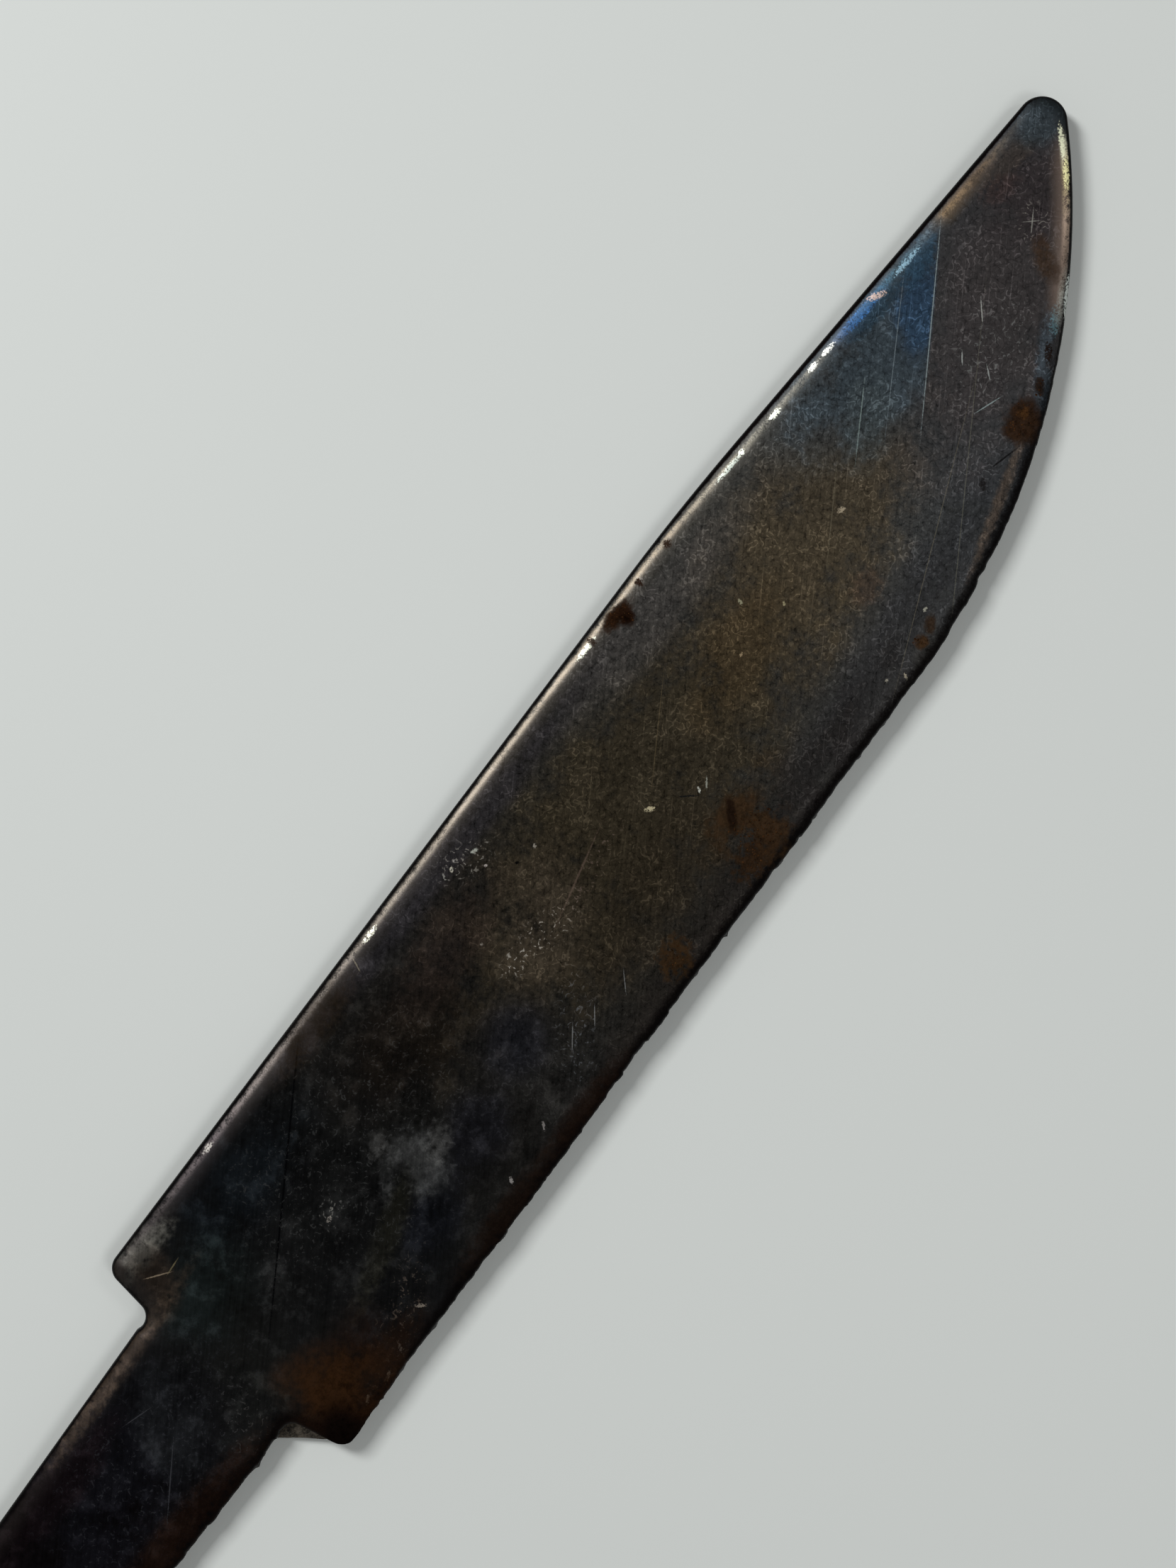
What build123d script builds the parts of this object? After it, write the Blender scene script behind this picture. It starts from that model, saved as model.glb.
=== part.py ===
"""Knife blade with a plain tang: one flat steel blank, pressed out of sheet and heat treated.

+X runs from the tang to the tip, +Y from the cutting edge to the spine, +Z up.
The origin lies on the blank's centre line, at its shoulders, on the underside it rests on.
"""

import os
from math import atan2, cos, degrees, radians, sin, tan

from build123d import *

os.makedirs("parts", exist_ok=True)

# Sheet that the blank is pressed from
stock_thickness = 3.0

# Blade outline
blade_length = 127.0  # shoulders to the foremost point of the nose
blade_width = 25.1  # at the shoulders
spine_straight = 80.4  # level spine, before it drops to the point
spine_drop = 3.47  # degrees
edge_straight = 81.0  # straight edge, before the belly curves up
edge_taper = 0.32  # degrees, by which the edge closes on the spine
nose_radius = 2.1

# Shoulders, and the relief notch where each one meets the tang
shoulder_lean = 9.5  # degrees, back from square to the spine
shoulder_radius = 1.45
notch_radius = 1.3
notch_undercut = 0.17  # how far the notch cuts in below the tang's side

# Tang
tang_length = 90.0
tang_root_width = 15.0
tang_spine_taper = 1.54  # degrees
tang_edge_taper = 1.0  # degrees
tang_end_radius = 4.0

# Pressed rim: drawn down at the top, sheared square below that, then torn inwards
roll_width = 1.3
roll_depth = 0.5
roll_brow_radius = 2.0  # where the roll bends away from the flat face
sheared_height = 0.9
tear_angle = 4.0  # degrees

# Ledge of torn metal, left low across the edge side's notch
ledge_height = 1.2
ledge_drop = 1.85  # down the shoulder, from its sharp corner
ledge_root = 1.0  # how far the ledge runs into the blank

pick_slack = 0.001  # allowed when corners are picked by their position


def heading(angle):
    """Unit vector that points angle degrees round from +X."""
    return Vector(cos(radians(angle)), sin(radians(angle)))


def tang_root(tang_taper):
    """Foot of the shoulder, centre and mouth of its notch, and corner of the tang's end.

    All are for the spine side, and the edge side is their mirror image.
    """
    flank, tang_side = heading(90 - shoulder_lean), heading(180 + tang_taper)
    off_flank, off_tang = heading(180 - shoulder_lean), heading(90 + tang_taper)
    root_half = tang_root_width / 2
    lean, closing = tan(radians(shoulder_lean)), tan(radians(tang_taper))
    foot_x = (root_half - half_width) * lean / (1 - lean * closing)
    foot = Vector(foot_x, root_half + foot_x * closing)
    notch_rise = notch_radius - notch_undercut
    notch = (
        foot
        + flank * (notch_rise / flank.dot(off_tang))
        + tang_side * (notch_radius / tang_side.dot(off_flank))
    )
    mouth = notch - off_tang * notch_rise + tang_side * (notch_radius**2 - notch_rise**2) ** 0.5
    return foot, notch, mouth, Vector(-tang_length, root_half - tang_length * closing)


def edge_side(point):
    """Mirror image of a spine side point."""
    return Vector(point.X, -point.Y)


half_width = blade_width / 2
spine_foot, spine_notch, _, spine_end = tang_root(tang_spine_taper)
edge_foot, edge_notch, edge_mouth, edge_end = map(edge_side, tang_root(tang_edge_taper))

# The nose lies against the dropped spine. The belly is the arc that leaves the straight edge
# and runs onto the nose with no corner at either end.
nose_x = blade_length - nose_radius
spine_fall = (nose_x - spine_straight) * tan(radians(spine_drop))
nose_centre = Vector(nose_x, half_width - spine_fall - nose_radius / cos(radians(spine_drop)))
belly_start = Vector(edge_straight, edge_straight * tan(radians(edge_taper)) - half_width)
off_edge = heading(90 + edge_taper)
reach = nose_centre - belly_start
belly_radius = (reach.length**2 - nose_radius**2) / (2 * (reach.dot(off_edge) - nose_radius))
belly_end = nose_centre - (belly_start + off_edge * belly_radius)
belly_turn = degrees(atan2(belly_end.Y, belly_end.X)) + 90 - edge_taper
nose_turn = 180 - spine_drop - edge_taper - belly_turn

torn_height = stock_thickness - roll_depth - sheared_height

with BuildPart() as blade:
    # Outline, at the height where the sheared wall ends
    with BuildSketch(Plane.XY.offset(torn_height)) as outline:
        with BuildLine():
            edge = Line((0, -half_width), belly_start)
            belly = JernArc(edge @ 1, edge % 1, belly_radius, belly_turn)
            nose = JernArc(belly @ 1, belly % 1, nose_radius, nose_turn)
            spine_corner = (0, half_width)
            Polyline(nose @ 1, (spine_straight, half_width), spine_corner, spine_foot, spine_end)
            Polyline(spine_end, edge_end, edge_foot, (0, -half_width))
        make_face()
        fillet(outline.vertices().group_by(Axis.X)[0], tang_end_radius)
        at_shoulders = outline.vertices().filter_by_position(Axis.X, -pick_slack, pick_slack)
        fillet(at_shoulders, shoulder_radius)
        with Locations(spine_notch, edge_notch):
            Circle(notch_radius, mode=Mode.SUBTRACT)
    extrude(amount=stock_thickness - torn_height)

    # Rolled rim round the upper face
    upper_face = blade.faces().sort_by(Axis.Z)[-1]
    chamfer(upper_face.edges(), roll_width, roll_depth, reference=upper_face)
    fillet(blade.faces().sort_by(Axis.Z)[-1].edges(), roll_brow_radius)

    # Torn lower part of the wall
    extrude(to_extrude=outline.sketch, amount=-torn_height, taper=tear_angle)

    # Ledge across the edge side's notch
    with BuildSketch() as ledge:
        on_shoulder = Vector(0, -half_width) + heading(90 + shoulder_lean) * ledge_drop
        inner_x, inner_y = on_shoulder.X + ledge_root, edge_mouth.Y + ledge_root
        with BuildLine():
            Polyline(
                on_shoulder,
                edge_mouth,
                (edge_mouth.X, inner_y),
                (inner_x, inner_y),
                (inner_x, on_shoulder.Y),
                close=True,
            )
        make_face()
    extrude(amount=ledge_height)

blade.part.label = "blade"
export_step(blade.part, "parts/blade.step")
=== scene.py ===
"""Pressed and heat-treated knife blade with a plain tang, lying on a pale bench."""

from __future__ import annotations

import logging
import math
from collections.abc import Iterable, Mapping, Sequence
from dataclasses import dataclass, field
from enum import Enum
from typing import Any, Union

import bpy
import numpy as np
from mathutils import Matrix, Vector
from mathutils.geometry import delaunay_2d_cdt
from mathutils.kdtree import KDTree

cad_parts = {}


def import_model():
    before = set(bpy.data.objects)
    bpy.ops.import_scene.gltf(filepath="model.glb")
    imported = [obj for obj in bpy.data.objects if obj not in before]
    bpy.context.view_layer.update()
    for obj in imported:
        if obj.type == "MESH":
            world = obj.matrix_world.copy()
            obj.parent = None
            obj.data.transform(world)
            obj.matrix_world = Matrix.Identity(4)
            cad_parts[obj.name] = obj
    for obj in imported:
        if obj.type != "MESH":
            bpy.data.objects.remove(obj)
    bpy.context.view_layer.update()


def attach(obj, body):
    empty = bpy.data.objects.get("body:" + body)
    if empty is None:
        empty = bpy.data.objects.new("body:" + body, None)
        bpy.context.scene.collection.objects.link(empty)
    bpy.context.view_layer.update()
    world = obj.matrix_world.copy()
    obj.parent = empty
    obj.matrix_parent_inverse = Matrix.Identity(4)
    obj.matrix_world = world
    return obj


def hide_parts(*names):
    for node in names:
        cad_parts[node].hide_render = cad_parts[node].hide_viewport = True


LOG = logging.getLogger("knife_blade")
MM = 0.001
BODY = "root"
NODE = "blade"

Number = Union[int, float]
Point = tuple[float, float]
Span = tuple[float, float]
Tone = tuple[int, int, int]


def srgb(red: int, green: int, blue: int) -> tuple[float, float, float, float]:
    """Colour for a shader socket, from display values between 0 and 255.

    Args:
        red: Red display value.
        green: Green display value.
        blue: Blue display value.

    Returns:
        The linear colour with full alpha.
    """

    def linear(value: int) -> float:
        """Linear light of one display value."""
        share = value / 255
        return share / 12.92 if share <= 0.04045 else ((share + 0.055) / 1.055) ** 2.4

    return (linear(red), linear(green), linear(blue), 1.0)


def heading(degrees: float) -> np.ndarray:
    """Unit vector in the blade's plane, turned the given degrees from +X."""
    return np.array((math.cos(math.radians(degrees)), math.sin(math.radians(degrees))))


class Wire:
    """An output socket of a node tree, which Python's operators combine with Math nodes."""

    def __init__(self, graph: "Graph", socket: bpy.types.NodeSocket) -> None:
        """Wraps one socket.

        Args:
            graph: The graph that the socket belongs to.
            socket: The output socket.
        """
        self.graph = graph
        self.socket = socket

    def maths(self, operation: str, *others: "Operand", clamp: bool = False) -> "Wire":
        """Adds one Math node that starts from this wire.

        Args:
            operation: The Math node's operation.
            others: The node's further operands, in order.
            clamp: Whether the result is held between 0 and 1.

        Returns:
            The node's result.
        """
        return self.graph.maths(operation, self, *others, clamp=clamp)

    def __add__(self, other: "Operand") -> "Wire":
        """Sum."""
        return self.maths("ADD", other)

    __radd__ = __add__

    def __sub__(self, other: "Operand") -> "Wire":
        """Difference."""
        return self.maths("SUBTRACT", other)

    def __rsub__(self, other: "Operand") -> "Wire":
        """Difference, with this wire on the right."""
        return self.graph.maths("SUBTRACT", other, self)

    def __mul__(self, other: "Operand") -> "Wire":
        """Product."""
        return self.maths("MULTIPLY", other)

    __rmul__ = __mul__

    def __truediv__(self, other: "Operand") -> "Wire":
        """Quotient."""
        return self.maths("DIVIDE", other)

    def __pow__(self, other: "Operand") -> "Wire":
        """Power."""
        return self.maths("POWER", other)

    def most(self, other: "Operand") -> "Wire":
        """The larger of two values."""
        return self.maths("MAXIMUM", other)

    def between(self, start: "Operand", end: "Operand") -> "Wire":
        """Smooth step: 0 at start and 1 at end, which may lie either way round."""
        return self.graph.smooth(self, start, end)


Operand = Union[Wire, Number]
Value = Union[Wire, Number, Sequence[float], bpy.types.ID, str, bool]


class Graph:
    """A node tree under construction, for a material or for geometry."""

    def __init__(self, tree: bpy.types.NodeTree) -> None:
        """Starts on a tree, which is emptied.

        Args:
            tree: The node tree to build.
        """
        self.tree = tree
        tree.nodes.clear()

    def node(
        self,
        kind: str,
        settings: Mapping[str, Any] | None = None,
        inputs: Mapping[int | str, Value] | None = None,
        out: int | str = 0,
    ) -> Wire:
        """Adds a node of any type.

        Args:
            kind: The node's type.
            settings: Its properties, set before its sockets. A dotted name reaches a property of
                a property, and "stops" fills a colour ramp.
            inputs: Links or constants for its input sockets, by index or name.
            out: Which output the result wraps.

        Returns:
            The chosen output.
        """
        item = self.tree.nodes.new(kind)
        for name, value in (settings or {}).items():
            if name == "stops":
                self._fill_ramp(item.color_ramp, value)
            else:
                owner, _, last = name.rpartition(".")
                setattr(item.path_resolve(owner) if owner else item, last, value)
        for key, value in (inputs or {}).items():
            self.feed(self._socket(item.inputs, key), value)
        return Wire(self, self._socket(item.outputs, out)) if item.outputs else Wire(self, None)

    @staticmethod
    def _socket(sockets: bpy.types.NodeInputs, key: int | str) -> bpy.types.NodeSocket:
        """Finds a socket of a node.

        Args:
            sockets: The node's inputs or outputs.
            key: The socket's index, or its name.

        Returns:
            The socket with that index, or the one in use with that name.
        """
        if isinstance(key, int):
            return sockets[key]
        return next(socket for socket in sockets if socket.name == key and socket.enabled)

    @staticmethod
    def _fill_ramp(ramp: bpy.types.ColorRamp, stops: Sequence[tuple[float, Sequence[float]]]) -> None:
        """Gives a colour ramp its stops.

        Args:
            ramp: The ramp of a new node, with its two first stops.
            stops: Position and colour of each stop, in order.
        """
        while len(ramp.elements) < len(stops):
            ramp.elements.new(1.0)
        for element, (position, colour) in zip(ramp.elements, stops):
            element.position = position
            element.color = colour

    def feed(self, socket: bpy.types.NodeSocket, value: Value) -> None:
        """Links a wire to an input socket, or sets a constant on it.

        Args:
            socket: The input socket.
            value: The wire or the constant.
        """
        if isinstance(value, Wire):
            self.tree.links.new(value.socket, socket)
        else:
            socket.default_value = value

    def maths(self, operation: str, *operands: Operand, clamp: bool = False) -> Wire:
        """Adds a Math node.

        Args:
            operation: The node's operation.
            operands: Its operands, in order.
            clamp: Whether the result is held between 0 and 1.

        Returns:
            The result.
        """
        settings = {"operation": operation, "use_clamp": clamp}
        return self.node("ShaderNodeMath", settings, dict(enumerate(operands)))

    def vector(self, operation: str, *operands: Value, out: int = 0) -> Wire:
        """Adds a Vector Math node.

        Args:
            operation: The node's operation.
            operands: Its operands, in socket order.
            out: 0 for a vector result, 1 for a number.

        Returns:
            The result.
        """
        settings = {"operation": operation}
        return self.node("ShaderNodeVectorMath", settings, dict(enumerate(operands)), out)

    def scaled(self, vector: Wire, factor: Operand) -> Wire:
        """Adds a Vector Math node that scales a vector.

        Args:
            vector: The vector.
            factor: What it is multiplied by.

        Returns:
            The scaled vector.
        """
        result = self.vector("SCALE", vector)
        self.feed(result.socket.node.inputs["Scale"], factor)
        return result

    def split(self, value: Wire, kind: str = "ShaderNodeSeparateXYZ") -> list[Wire]:
        """The three numbers that make up a vector, or a colour with its own kind of node."""
        parts = self.node(kind, {}, {0: value}).socket.node
        return [Wire(self, socket) for socket in parts.outputs[:3]]

    def smooth(self, value: Wire, start: Operand, end: Operand) -> Wire:
        """Adds a smooth step.

        Args:
            value: The value that is tested.
            start: Where the step is still 0.
            end: Where the step has reached 1, above or below start if both are numbers.

        Returns:
            A number from 0 to 1.
        """
        falling = isinstance(start, (int, float)) and isinstance(end, (int, float)) and start > end
        low, high = (end, start) if falling else (start, end)
        inputs = {"Value": value, "From Min": low, "From Max": high}
        inputs |= {"To Min": 1.0, "To Max": 0.0} if falling else {"To Min": 0.0, "To Max": 1.0}
        return self.node("ShaderNodeMapRange", {"interpolation_type": "SMOOTHSTEP"}, inputs)

    def blend(self, share: Operand, first: Value, second: Value, mode: str = "MIX") -> Wire:
        """Mixes two colours.

        Args:
            share: How much of the second colour counts.
            first: The colour at share 0.
            second: The colour at share 1.
            mode: The blend mode.

        Returns:
            The mixed colour.
        """
        settings = {"data_type": "RGBA", "blend_type": mode, "clamp_factor": True}
        return self.node("ShaderNodeMix", settings, {0: share, 6: first, 7: second}, 2)

    def noise(
        self,
        place: Wire,
        scale: float,
        detail: float = 2.0,
        rough: float = 0.5,
        seed: Operand | None = None,
        out: int = 0,
    ) -> Wire:
        """Adds a Noise texture.

        Args:
            place: The coordinates.
            scale: Features for each unit of the coordinates.
            detail: Number of finer octaves.
            rough: Weight of the finer octaves.
            seed: Picks another noise of the same kind, which takes longer to work out.
            out: 0 for a number around 0.5, 1 for a colour.

        Returns:
            The noise.
        """
        inputs = {"Vector": place, "Scale": scale, "Detail": detail, "Roughness": rough}
        if seed is None:
            return self.node("ShaderNodeTexNoise", {}, inputs, out)
        return self.node("ShaderNodeTexNoise", {"noise_dimensions": "4D"}, inputs | {"W": seed}, out)


class Side(Enum):
    """The two long sides of the blank, by the sign of their y."""

    SPINE = 1
    EDGE = -1


@dataclass(frozen=True)
class Arc:
    """A round stretch of the outline."""

    centre: Point
    radius: float
    start: float
    turn: float

    def points(self, spacing: float) -> list[Point]:
        """Points along the arc, from its start up to but without its end.

        Args:
            spacing: Greatest distance between two points.

        Returns:
            The points in order.
        """
        steps = max(2, math.ceil(abs(math.radians(self.turn)) * self.radius / spacing))
        middle = np.array(self.centre)
        return [
            tuple(middle + heading(self.start + self.turn * step / steps) * self.radius)
            for step in range(steps)
        ]

    def at(self, share: float) -> np.ndarray:
        """Point at a share of the arc's length."""
        return np.array(self.centre) + heading(self.start + self.turn * share) * self.radius


def straight(start: Point, end: Point, spacing: float) -> list[Point]:
    """Points along a line, from its start up to but without its end.

    Args:
        start: First end of the line.
        end: Last end of the line.
        spacing: Greatest distance between two points.

    Returns:
        The points in order.
    """
    first, last = np.array(start), np.array(end)
    steps = max(1, math.ceil(np.linalg.norm(last - first) / spacing))
    return [tuple(first + (last - first) * step / steps) for step in range(steps)]


@dataclass(frozen=True)
class Snag:
    """A crumb of torn steel on the cutting edge's side, in millimetres."""

    x: float
    height: float
    width: float


@dataclass(frozen=True)
class Sheet:
    """The inside of an outline that is walked counter-clockwise, in millimetres.

    The face takes rows of points at the depths in rings and a grid further in; the underside has
    its own. Rows that lie in the dense rim keep every point of the outline. Whatever moves the rim
    out fades over the reach.
    """

    outline: np.ndarray
    rings: tuple[float, ...]
    grid: float
    under_rings: tuple[float, ...]
    under_grid: float
    wall_rings: int
    snags: tuple[Snag, ...] = ()
    reach: float = 1.6
    dense_rim: float = 0.7

    def outward(self) -> np.ndarray:
        """Works out which way the rim faces.

        Returns:
            Unit vectors that point out of the outline, one for each of its points.
        """
        along = np.roll(self.outline, -1, axis=0) - np.roll(self.outline, 1, axis=0)
        along /= np.linalg.norm(along, axis=1, keepdims=True)
        return np.column_stack((along[:, 1], -along[:, 0]))

    def inside(self, places: np.ndarray) -> tuple[np.ndarray, np.ndarray]:
        """Finds how deep places lie inside the outline.

        Args:
            places: Points in the blade's plane.

        Returns:
            The distance from the outline, positive inside it, and the number of the nearest point
            of the outline, for each place.
        """
        tree = KDTree(len(self.outline))
        for index, (x, y) in enumerate(self.outline):
            tree.insert((x, y, 0.0), index)
        tree.balance()
        nearest = np.array([tree.find((x, y, 0.0))[1] for x, y in places])
        count = len(self.outline)
        best = np.full(len(places), np.inf)
        for first, last in ((nearest - 1, nearest), (nearest, nearest + 1)):
            start, end = self.outline[first % count], self.outline[last % count]
            run = end - start
            share = ((places - start) * run).sum(axis=1) / (run * run).sum(axis=1)
            foot = start + run * np.clip(share, 0.0, 1.0)[:, None]
            best = np.minimum(best, np.linalg.norm(places - foot, axis=1))
        side = ((self.outline[nearest] - places) * self.outward()[nearest]).sum(axis=1)
        return np.where(side >= 0, best, -best), nearest

    def _triangles(
        self, rings: Sequence[float], grid: float, coarse: int, dense_rim: float
    ) -> tuple[np.ndarray, np.ndarray]:
        """Triangulates the inside of the outline, finely near the rim.

        Args:
            rings: Depths at which rows of points follow the rim.
            grid: Spacing of the points further in.
            coarse: How many points of the outline share one point of a deeper row.
            dense_rim: Depth above which a row keeps every point of the outline.

        Returns:
            The points, of which the outline's come first, and the triangles.
        """
        rows = [self.outline]
        outward = self.outward()
        for depth in rings:
            row = (self.outline - outward * depth)[:: 1 if depth < dense_rim else coarse]
            rows.append(row[np.abs(self.inside(row)[0] - depth) < depth * 0.04])
        low, high = self.outline.min(axis=0), self.outline.max(axis=0)
        for index, y in enumerate(np.arange(low[1], high[1], grid * math.sqrt(0.75))):
            xs = np.arange(low[0] + grid / 2 * (index % 2), high[0], grid)
            row = np.column_stack((xs, np.full(len(xs), y)))
            rows.append(row[self.inside(row)[0] > rings[-1] + grid * 0.6])
        points = np.vstack(rows)
        loop = list(range(len(self.outline)))
        found = delaunay_2d_cdt([Vector(p) for p in points], [], [loop], 1, 1e-6)
        source = [origins[0] for origins in found[3]]
        return points, np.array([[source[v] for v in face] for face in found[2]])

    def skin(self) -> bpy.types.Mesh:
        """Closed skin of the sheet before it takes its section, with what shapes it as attributes.

        Returns:
            A mesh whose face, wall and underside all lie in the plane z = 0. Its attributes are
            rim, the depth inside the outline, drop, from 0 on the face to 1 on the underside,
            outward, the direction out of the rim, which fades inwards, and snag, the crumbs.
        """
        count = len(self.outline)
        face, face_tris = self._triangles(self.rings, self.grid, 2, self.dense_rim)
        under, under_tris = self._triangles(self.under_rings, self.under_grid, 4, 0.0)
        wall_start = len(face)
        wall = np.tile(self.outline, (self.wall_rings, 1))
        under_start = wall_start + len(wall)
        places = np.vstack((face, wall, under[count:]))

        def ring(level: int) -> np.ndarray:
            """Vertex numbers of one ring of the wall, from 0 at the face."""
            return np.arange(count) + (0 if level == 0 else wall_start + (level - 1) * count)

        quads = []
        for level in range(self.wall_rings):
            upper, lower = ring(level), ring(level + 1)
            quads.append(np.column_stack((upper, lower, np.roll(lower, -1), np.roll(upper, -1))))
        base = ring(self.wall_rings)
        moved = np.concatenate((base, np.arange(len(under) - count) + under_start))
        faces = face_tris.tolist() + np.vstack(quads).tolist() + moved[under_tris[:, ::-1]].tolist()

        mesh = bpy.data.meshes.new("sheet_skin")
        mesh.from_pydata(np.column_stack((places * MM, np.zeros(len(places)))), [], faces)
        levels = np.repeat(np.arange(1, self.wall_rings + 1) / self.wall_rings, count)
        drop = np.concatenate((np.zeros(len(face)), levels, np.ones(len(under) - count)))
        depth, nearest = self.inside(places)
        depth = np.maximum(depth, 0.0)
        depth[:count] = 0.0
        depth[wall_start:under_start] = 0.0
        fade = np.clip(1 - depth / self.reach, 0.0, 1.0) ** 2
        outward = np.column_stack((self.outward()[nearest] * fade[:, None], np.zeros(len(places))))
        snag = np.zeros(len(places))
        for item in self.snags:
            snag = snag + item.height * np.exp(-(((places[:, 0] - item.x) / item.width) ** 2))
        for name, kind, key, values in (
            ("rim", "FLOAT", "value", depth),
            ("drop", "FLOAT", "value", drop),
            ("snag", "FLOAT", "value", snag * (depth == 0.0) * (places[:, 1] < 0.0)),
            ("outward", "FLOAT_VECTOR", "vector", outward),
        ):
            mesh.attributes.new(name, kind, "POINT").data.foreach_set(key, values.ravel())
        return mesh


@dataclass
class BladeBlank:
    """The blade and its tang, one piece of sheet steel pressed out in one stroke.

    Lengths are in millimetres and angles in degrees.
    """

    thickness: float = 3.0
    blade_length: float = 127.0
    blade_width: float = 25.1
    spine_straight: float = 80.4
    spine_drop: float = 3.47
    edge_straight: float = 81.0
    edge_taper: float = 0.32
    nose_radius: float = 2.1
    shoulder_lean: float = 9.5
    shoulder_radius: float = 1.45
    notch_radius: float = 1.3
    notch_undercut: float = 0.17
    tang_length: float = 90.0
    tang_root_width: float = 15.0
    tang_spine_taper: float = 1.54
    tang_edge_taper: float = 1.0
    tang_end_radius: float = 4.0
    spine_radius: float = 230.0
    roll_width: float = 2.7
    roll_depth: float = 0.55
    roll_power: float = 4.2
    roll_widening: float = 0.3
    lip_radius: float = 0.24
    sheared_share: float = 0.32
    tear_inset: float = 0.11
    tear_roughness: float = 0.12
    bulge: float = 0.035
    scallop: float = 0.34
    burr: float = 0.1
    waviness: float = 0.02
    seed: int = 4
    long_spacing: float = 0.24
    short_spacing: float = 0.12
    face_rings: tuple[float, ...] = (0.035, 0.09, 0.16, 0.25, 0.36, 0.52, 0.75, 1.05, 1.4, 1.85, 2.4)
    face_grid: float = 0.42
    under_rings: tuple[float, ...] = (0.25, 0.7, 1.5)
    under_grid: float = 1.4
    wall_rings: int = 9
    snags: tuple[Snag, ...] = (
        Snag(-5.7, 0.26, 0.25),
        Snag(4.4, 0.10, 0.50),
        Snag(8.2, 0.12, 0.40),
        Snag(12.7, 0.16, 0.35),
        Snag(22.4, 0.08, 0.60),
        Snag(49.8, 0.13, 0.30),
        Snag(54.0, 0.28, 0.16),
        Snag(61.7, 0.14, 0.30),
        Snag(66.5, 0.14, 0.30),
        Snag(72.8, 0.12, 0.30),
        Snag(76.3, 0.12, 0.30),
    )
    outline: np.ndarray = field(init=False)
    edge_notch: Arc = field(init=False)

    def __post_init__(self) -> None:
        """Walks round the outline once."""
        self.outline = np.array(self._walk())

    @property
    def half(self) -> float:
        """Half the blade's width."""
        return self.blade_width / 2

    def _tang_root(self, side: Side) -> tuple[np.ndarray, Arc, np.ndarray]:
        """Where one side's shoulder meets the tang.

        Args:
            side: The side.

        Returns:
            Where the shoulder ends at the notch, the notch's arc, and the tang's end corner.
        """
        taper = self.tang_spine_taper if side is Side.SPINE else self.tang_edge_taper
        flank, along = heading(90 - self.shoulder_lean), heading(180 + taper)
        off_flank, off_side = heading(180 - self.shoulder_lean), heading(90 + taper)
        root_half = self.tang_root_width / 2
        lean, closing = math.tan(math.radians(self.shoulder_lean)), math.tan(math.radians(taper))
        foot_x = (root_half - self.half) * lean / (1 - lean * closing)
        foot = np.array((foot_x, root_half + foot_x * closing))
        rise = self.notch_radius - self.notch_undercut
        centre = foot + flank * (rise / flank.dot(off_side))
        centre = centre + along * (self.notch_radius / along.dot(off_flank))
        past = math.degrees(math.acos(rise / self.notch_radius))
        start, end = -self.shoulder_lean, -90 + taper - past
        shoulder_end = centre + heading(start) * self.notch_radius
        end_corner = np.array((-self.tang_length, root_half - self.tang_length * closing))
        if side is Side.SPINE:
            return shoulder_end, Arc(tuple(centre), self.notch_radius, start, end - start), end_corner
        flip = np.array((1.0, side.value))
        notch = Arc(tuple(centre * flip), self.notch_radius, -end, end - start)
        return shoulder_end * flip, notch, end_corner * flip

    def _rounded(self, before: Point, corner: Point, after: Point, radius: float) -> Arc:
        """Arc that rounds a corner of the outline.

        Args:
            before: A point on the line into the corner.
            corner: The sharp corner.
            after: A point on the line out of it.
            radius: The arc's radius.

        Returns:
            The arc, which touches both lines.
        """
        way_in = np.array(corner) - np.array(before)
        way_out = np.array(after) - np.array(corner)
        way_in, way_out = way_in / np.linalg.norm(way_in), way_out / np.linalg.norm(way_out)
        turn = math.degrees(
            math.atan2(way_in[0] * way_out[1] - way_in[1] * way_out[0], way_in.dot(way_out))
        )
        cut = radius * math.tan(math.radians(abs(turn)) / 2)
        side = math.copysign(1.0, turn)
        left = np.array((-way_in[1], way_in[0])) * side
        centre = np.array(corner) - way_in * cut + left * radius
        start = math.degrees(math.atan2(-left[1], -left[0]))
        return Arc(tuple(centre), radius, start, turn)

    def _walk(self) -> list[Point]:
        """Walks round the blade and its tang.

        Returns:
            Points of the outline, counter-clockwise from the edge side's shoulder.
        """
        long, short = self.long_spacing, self.short_spacing
        drop, taper = math.radians(self.spine_drop), math.radians(self.edge_taper)
        nose_x = self.blade_length - self.nose_radius
        nose_y = self.half - (nose_x - self.spine_straight) * math.tan(drop)
        nose_middle = np.array((nose_x, nose_y - self.nose_radius / math.cos(drop)))
        belly_start = np.array((self.edge_straight, self.edge_straight * math.tan(taper) - self.half))
        off_edge = heading(90 + self.edge_taper)
        reach = nose_middle - belly_start
        belly_radius = (reach.dot(reach) - self.nose_radius**2) / (
            2 * (reach.dot(off_edge) - self.nose_radius)
        )
        belly_middle = belly_start + off_edge * belly_radius
        away = nose_middle - belly_middle
        belly_turn = math.degrees(math.atan2(away[1], away[0])) + 90 - self.edge_taper
        belly = Arc(tuple(belly_middle), belly_radius, self.edge_taper - 90, belly_turn)
        nose_start = self.edge_taper - 90 + belly_turn
        nose = Arc(tuple(nose_middle), self.nose_radius, nose_start, 90 - self.spine_drop - nose_start)

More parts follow.
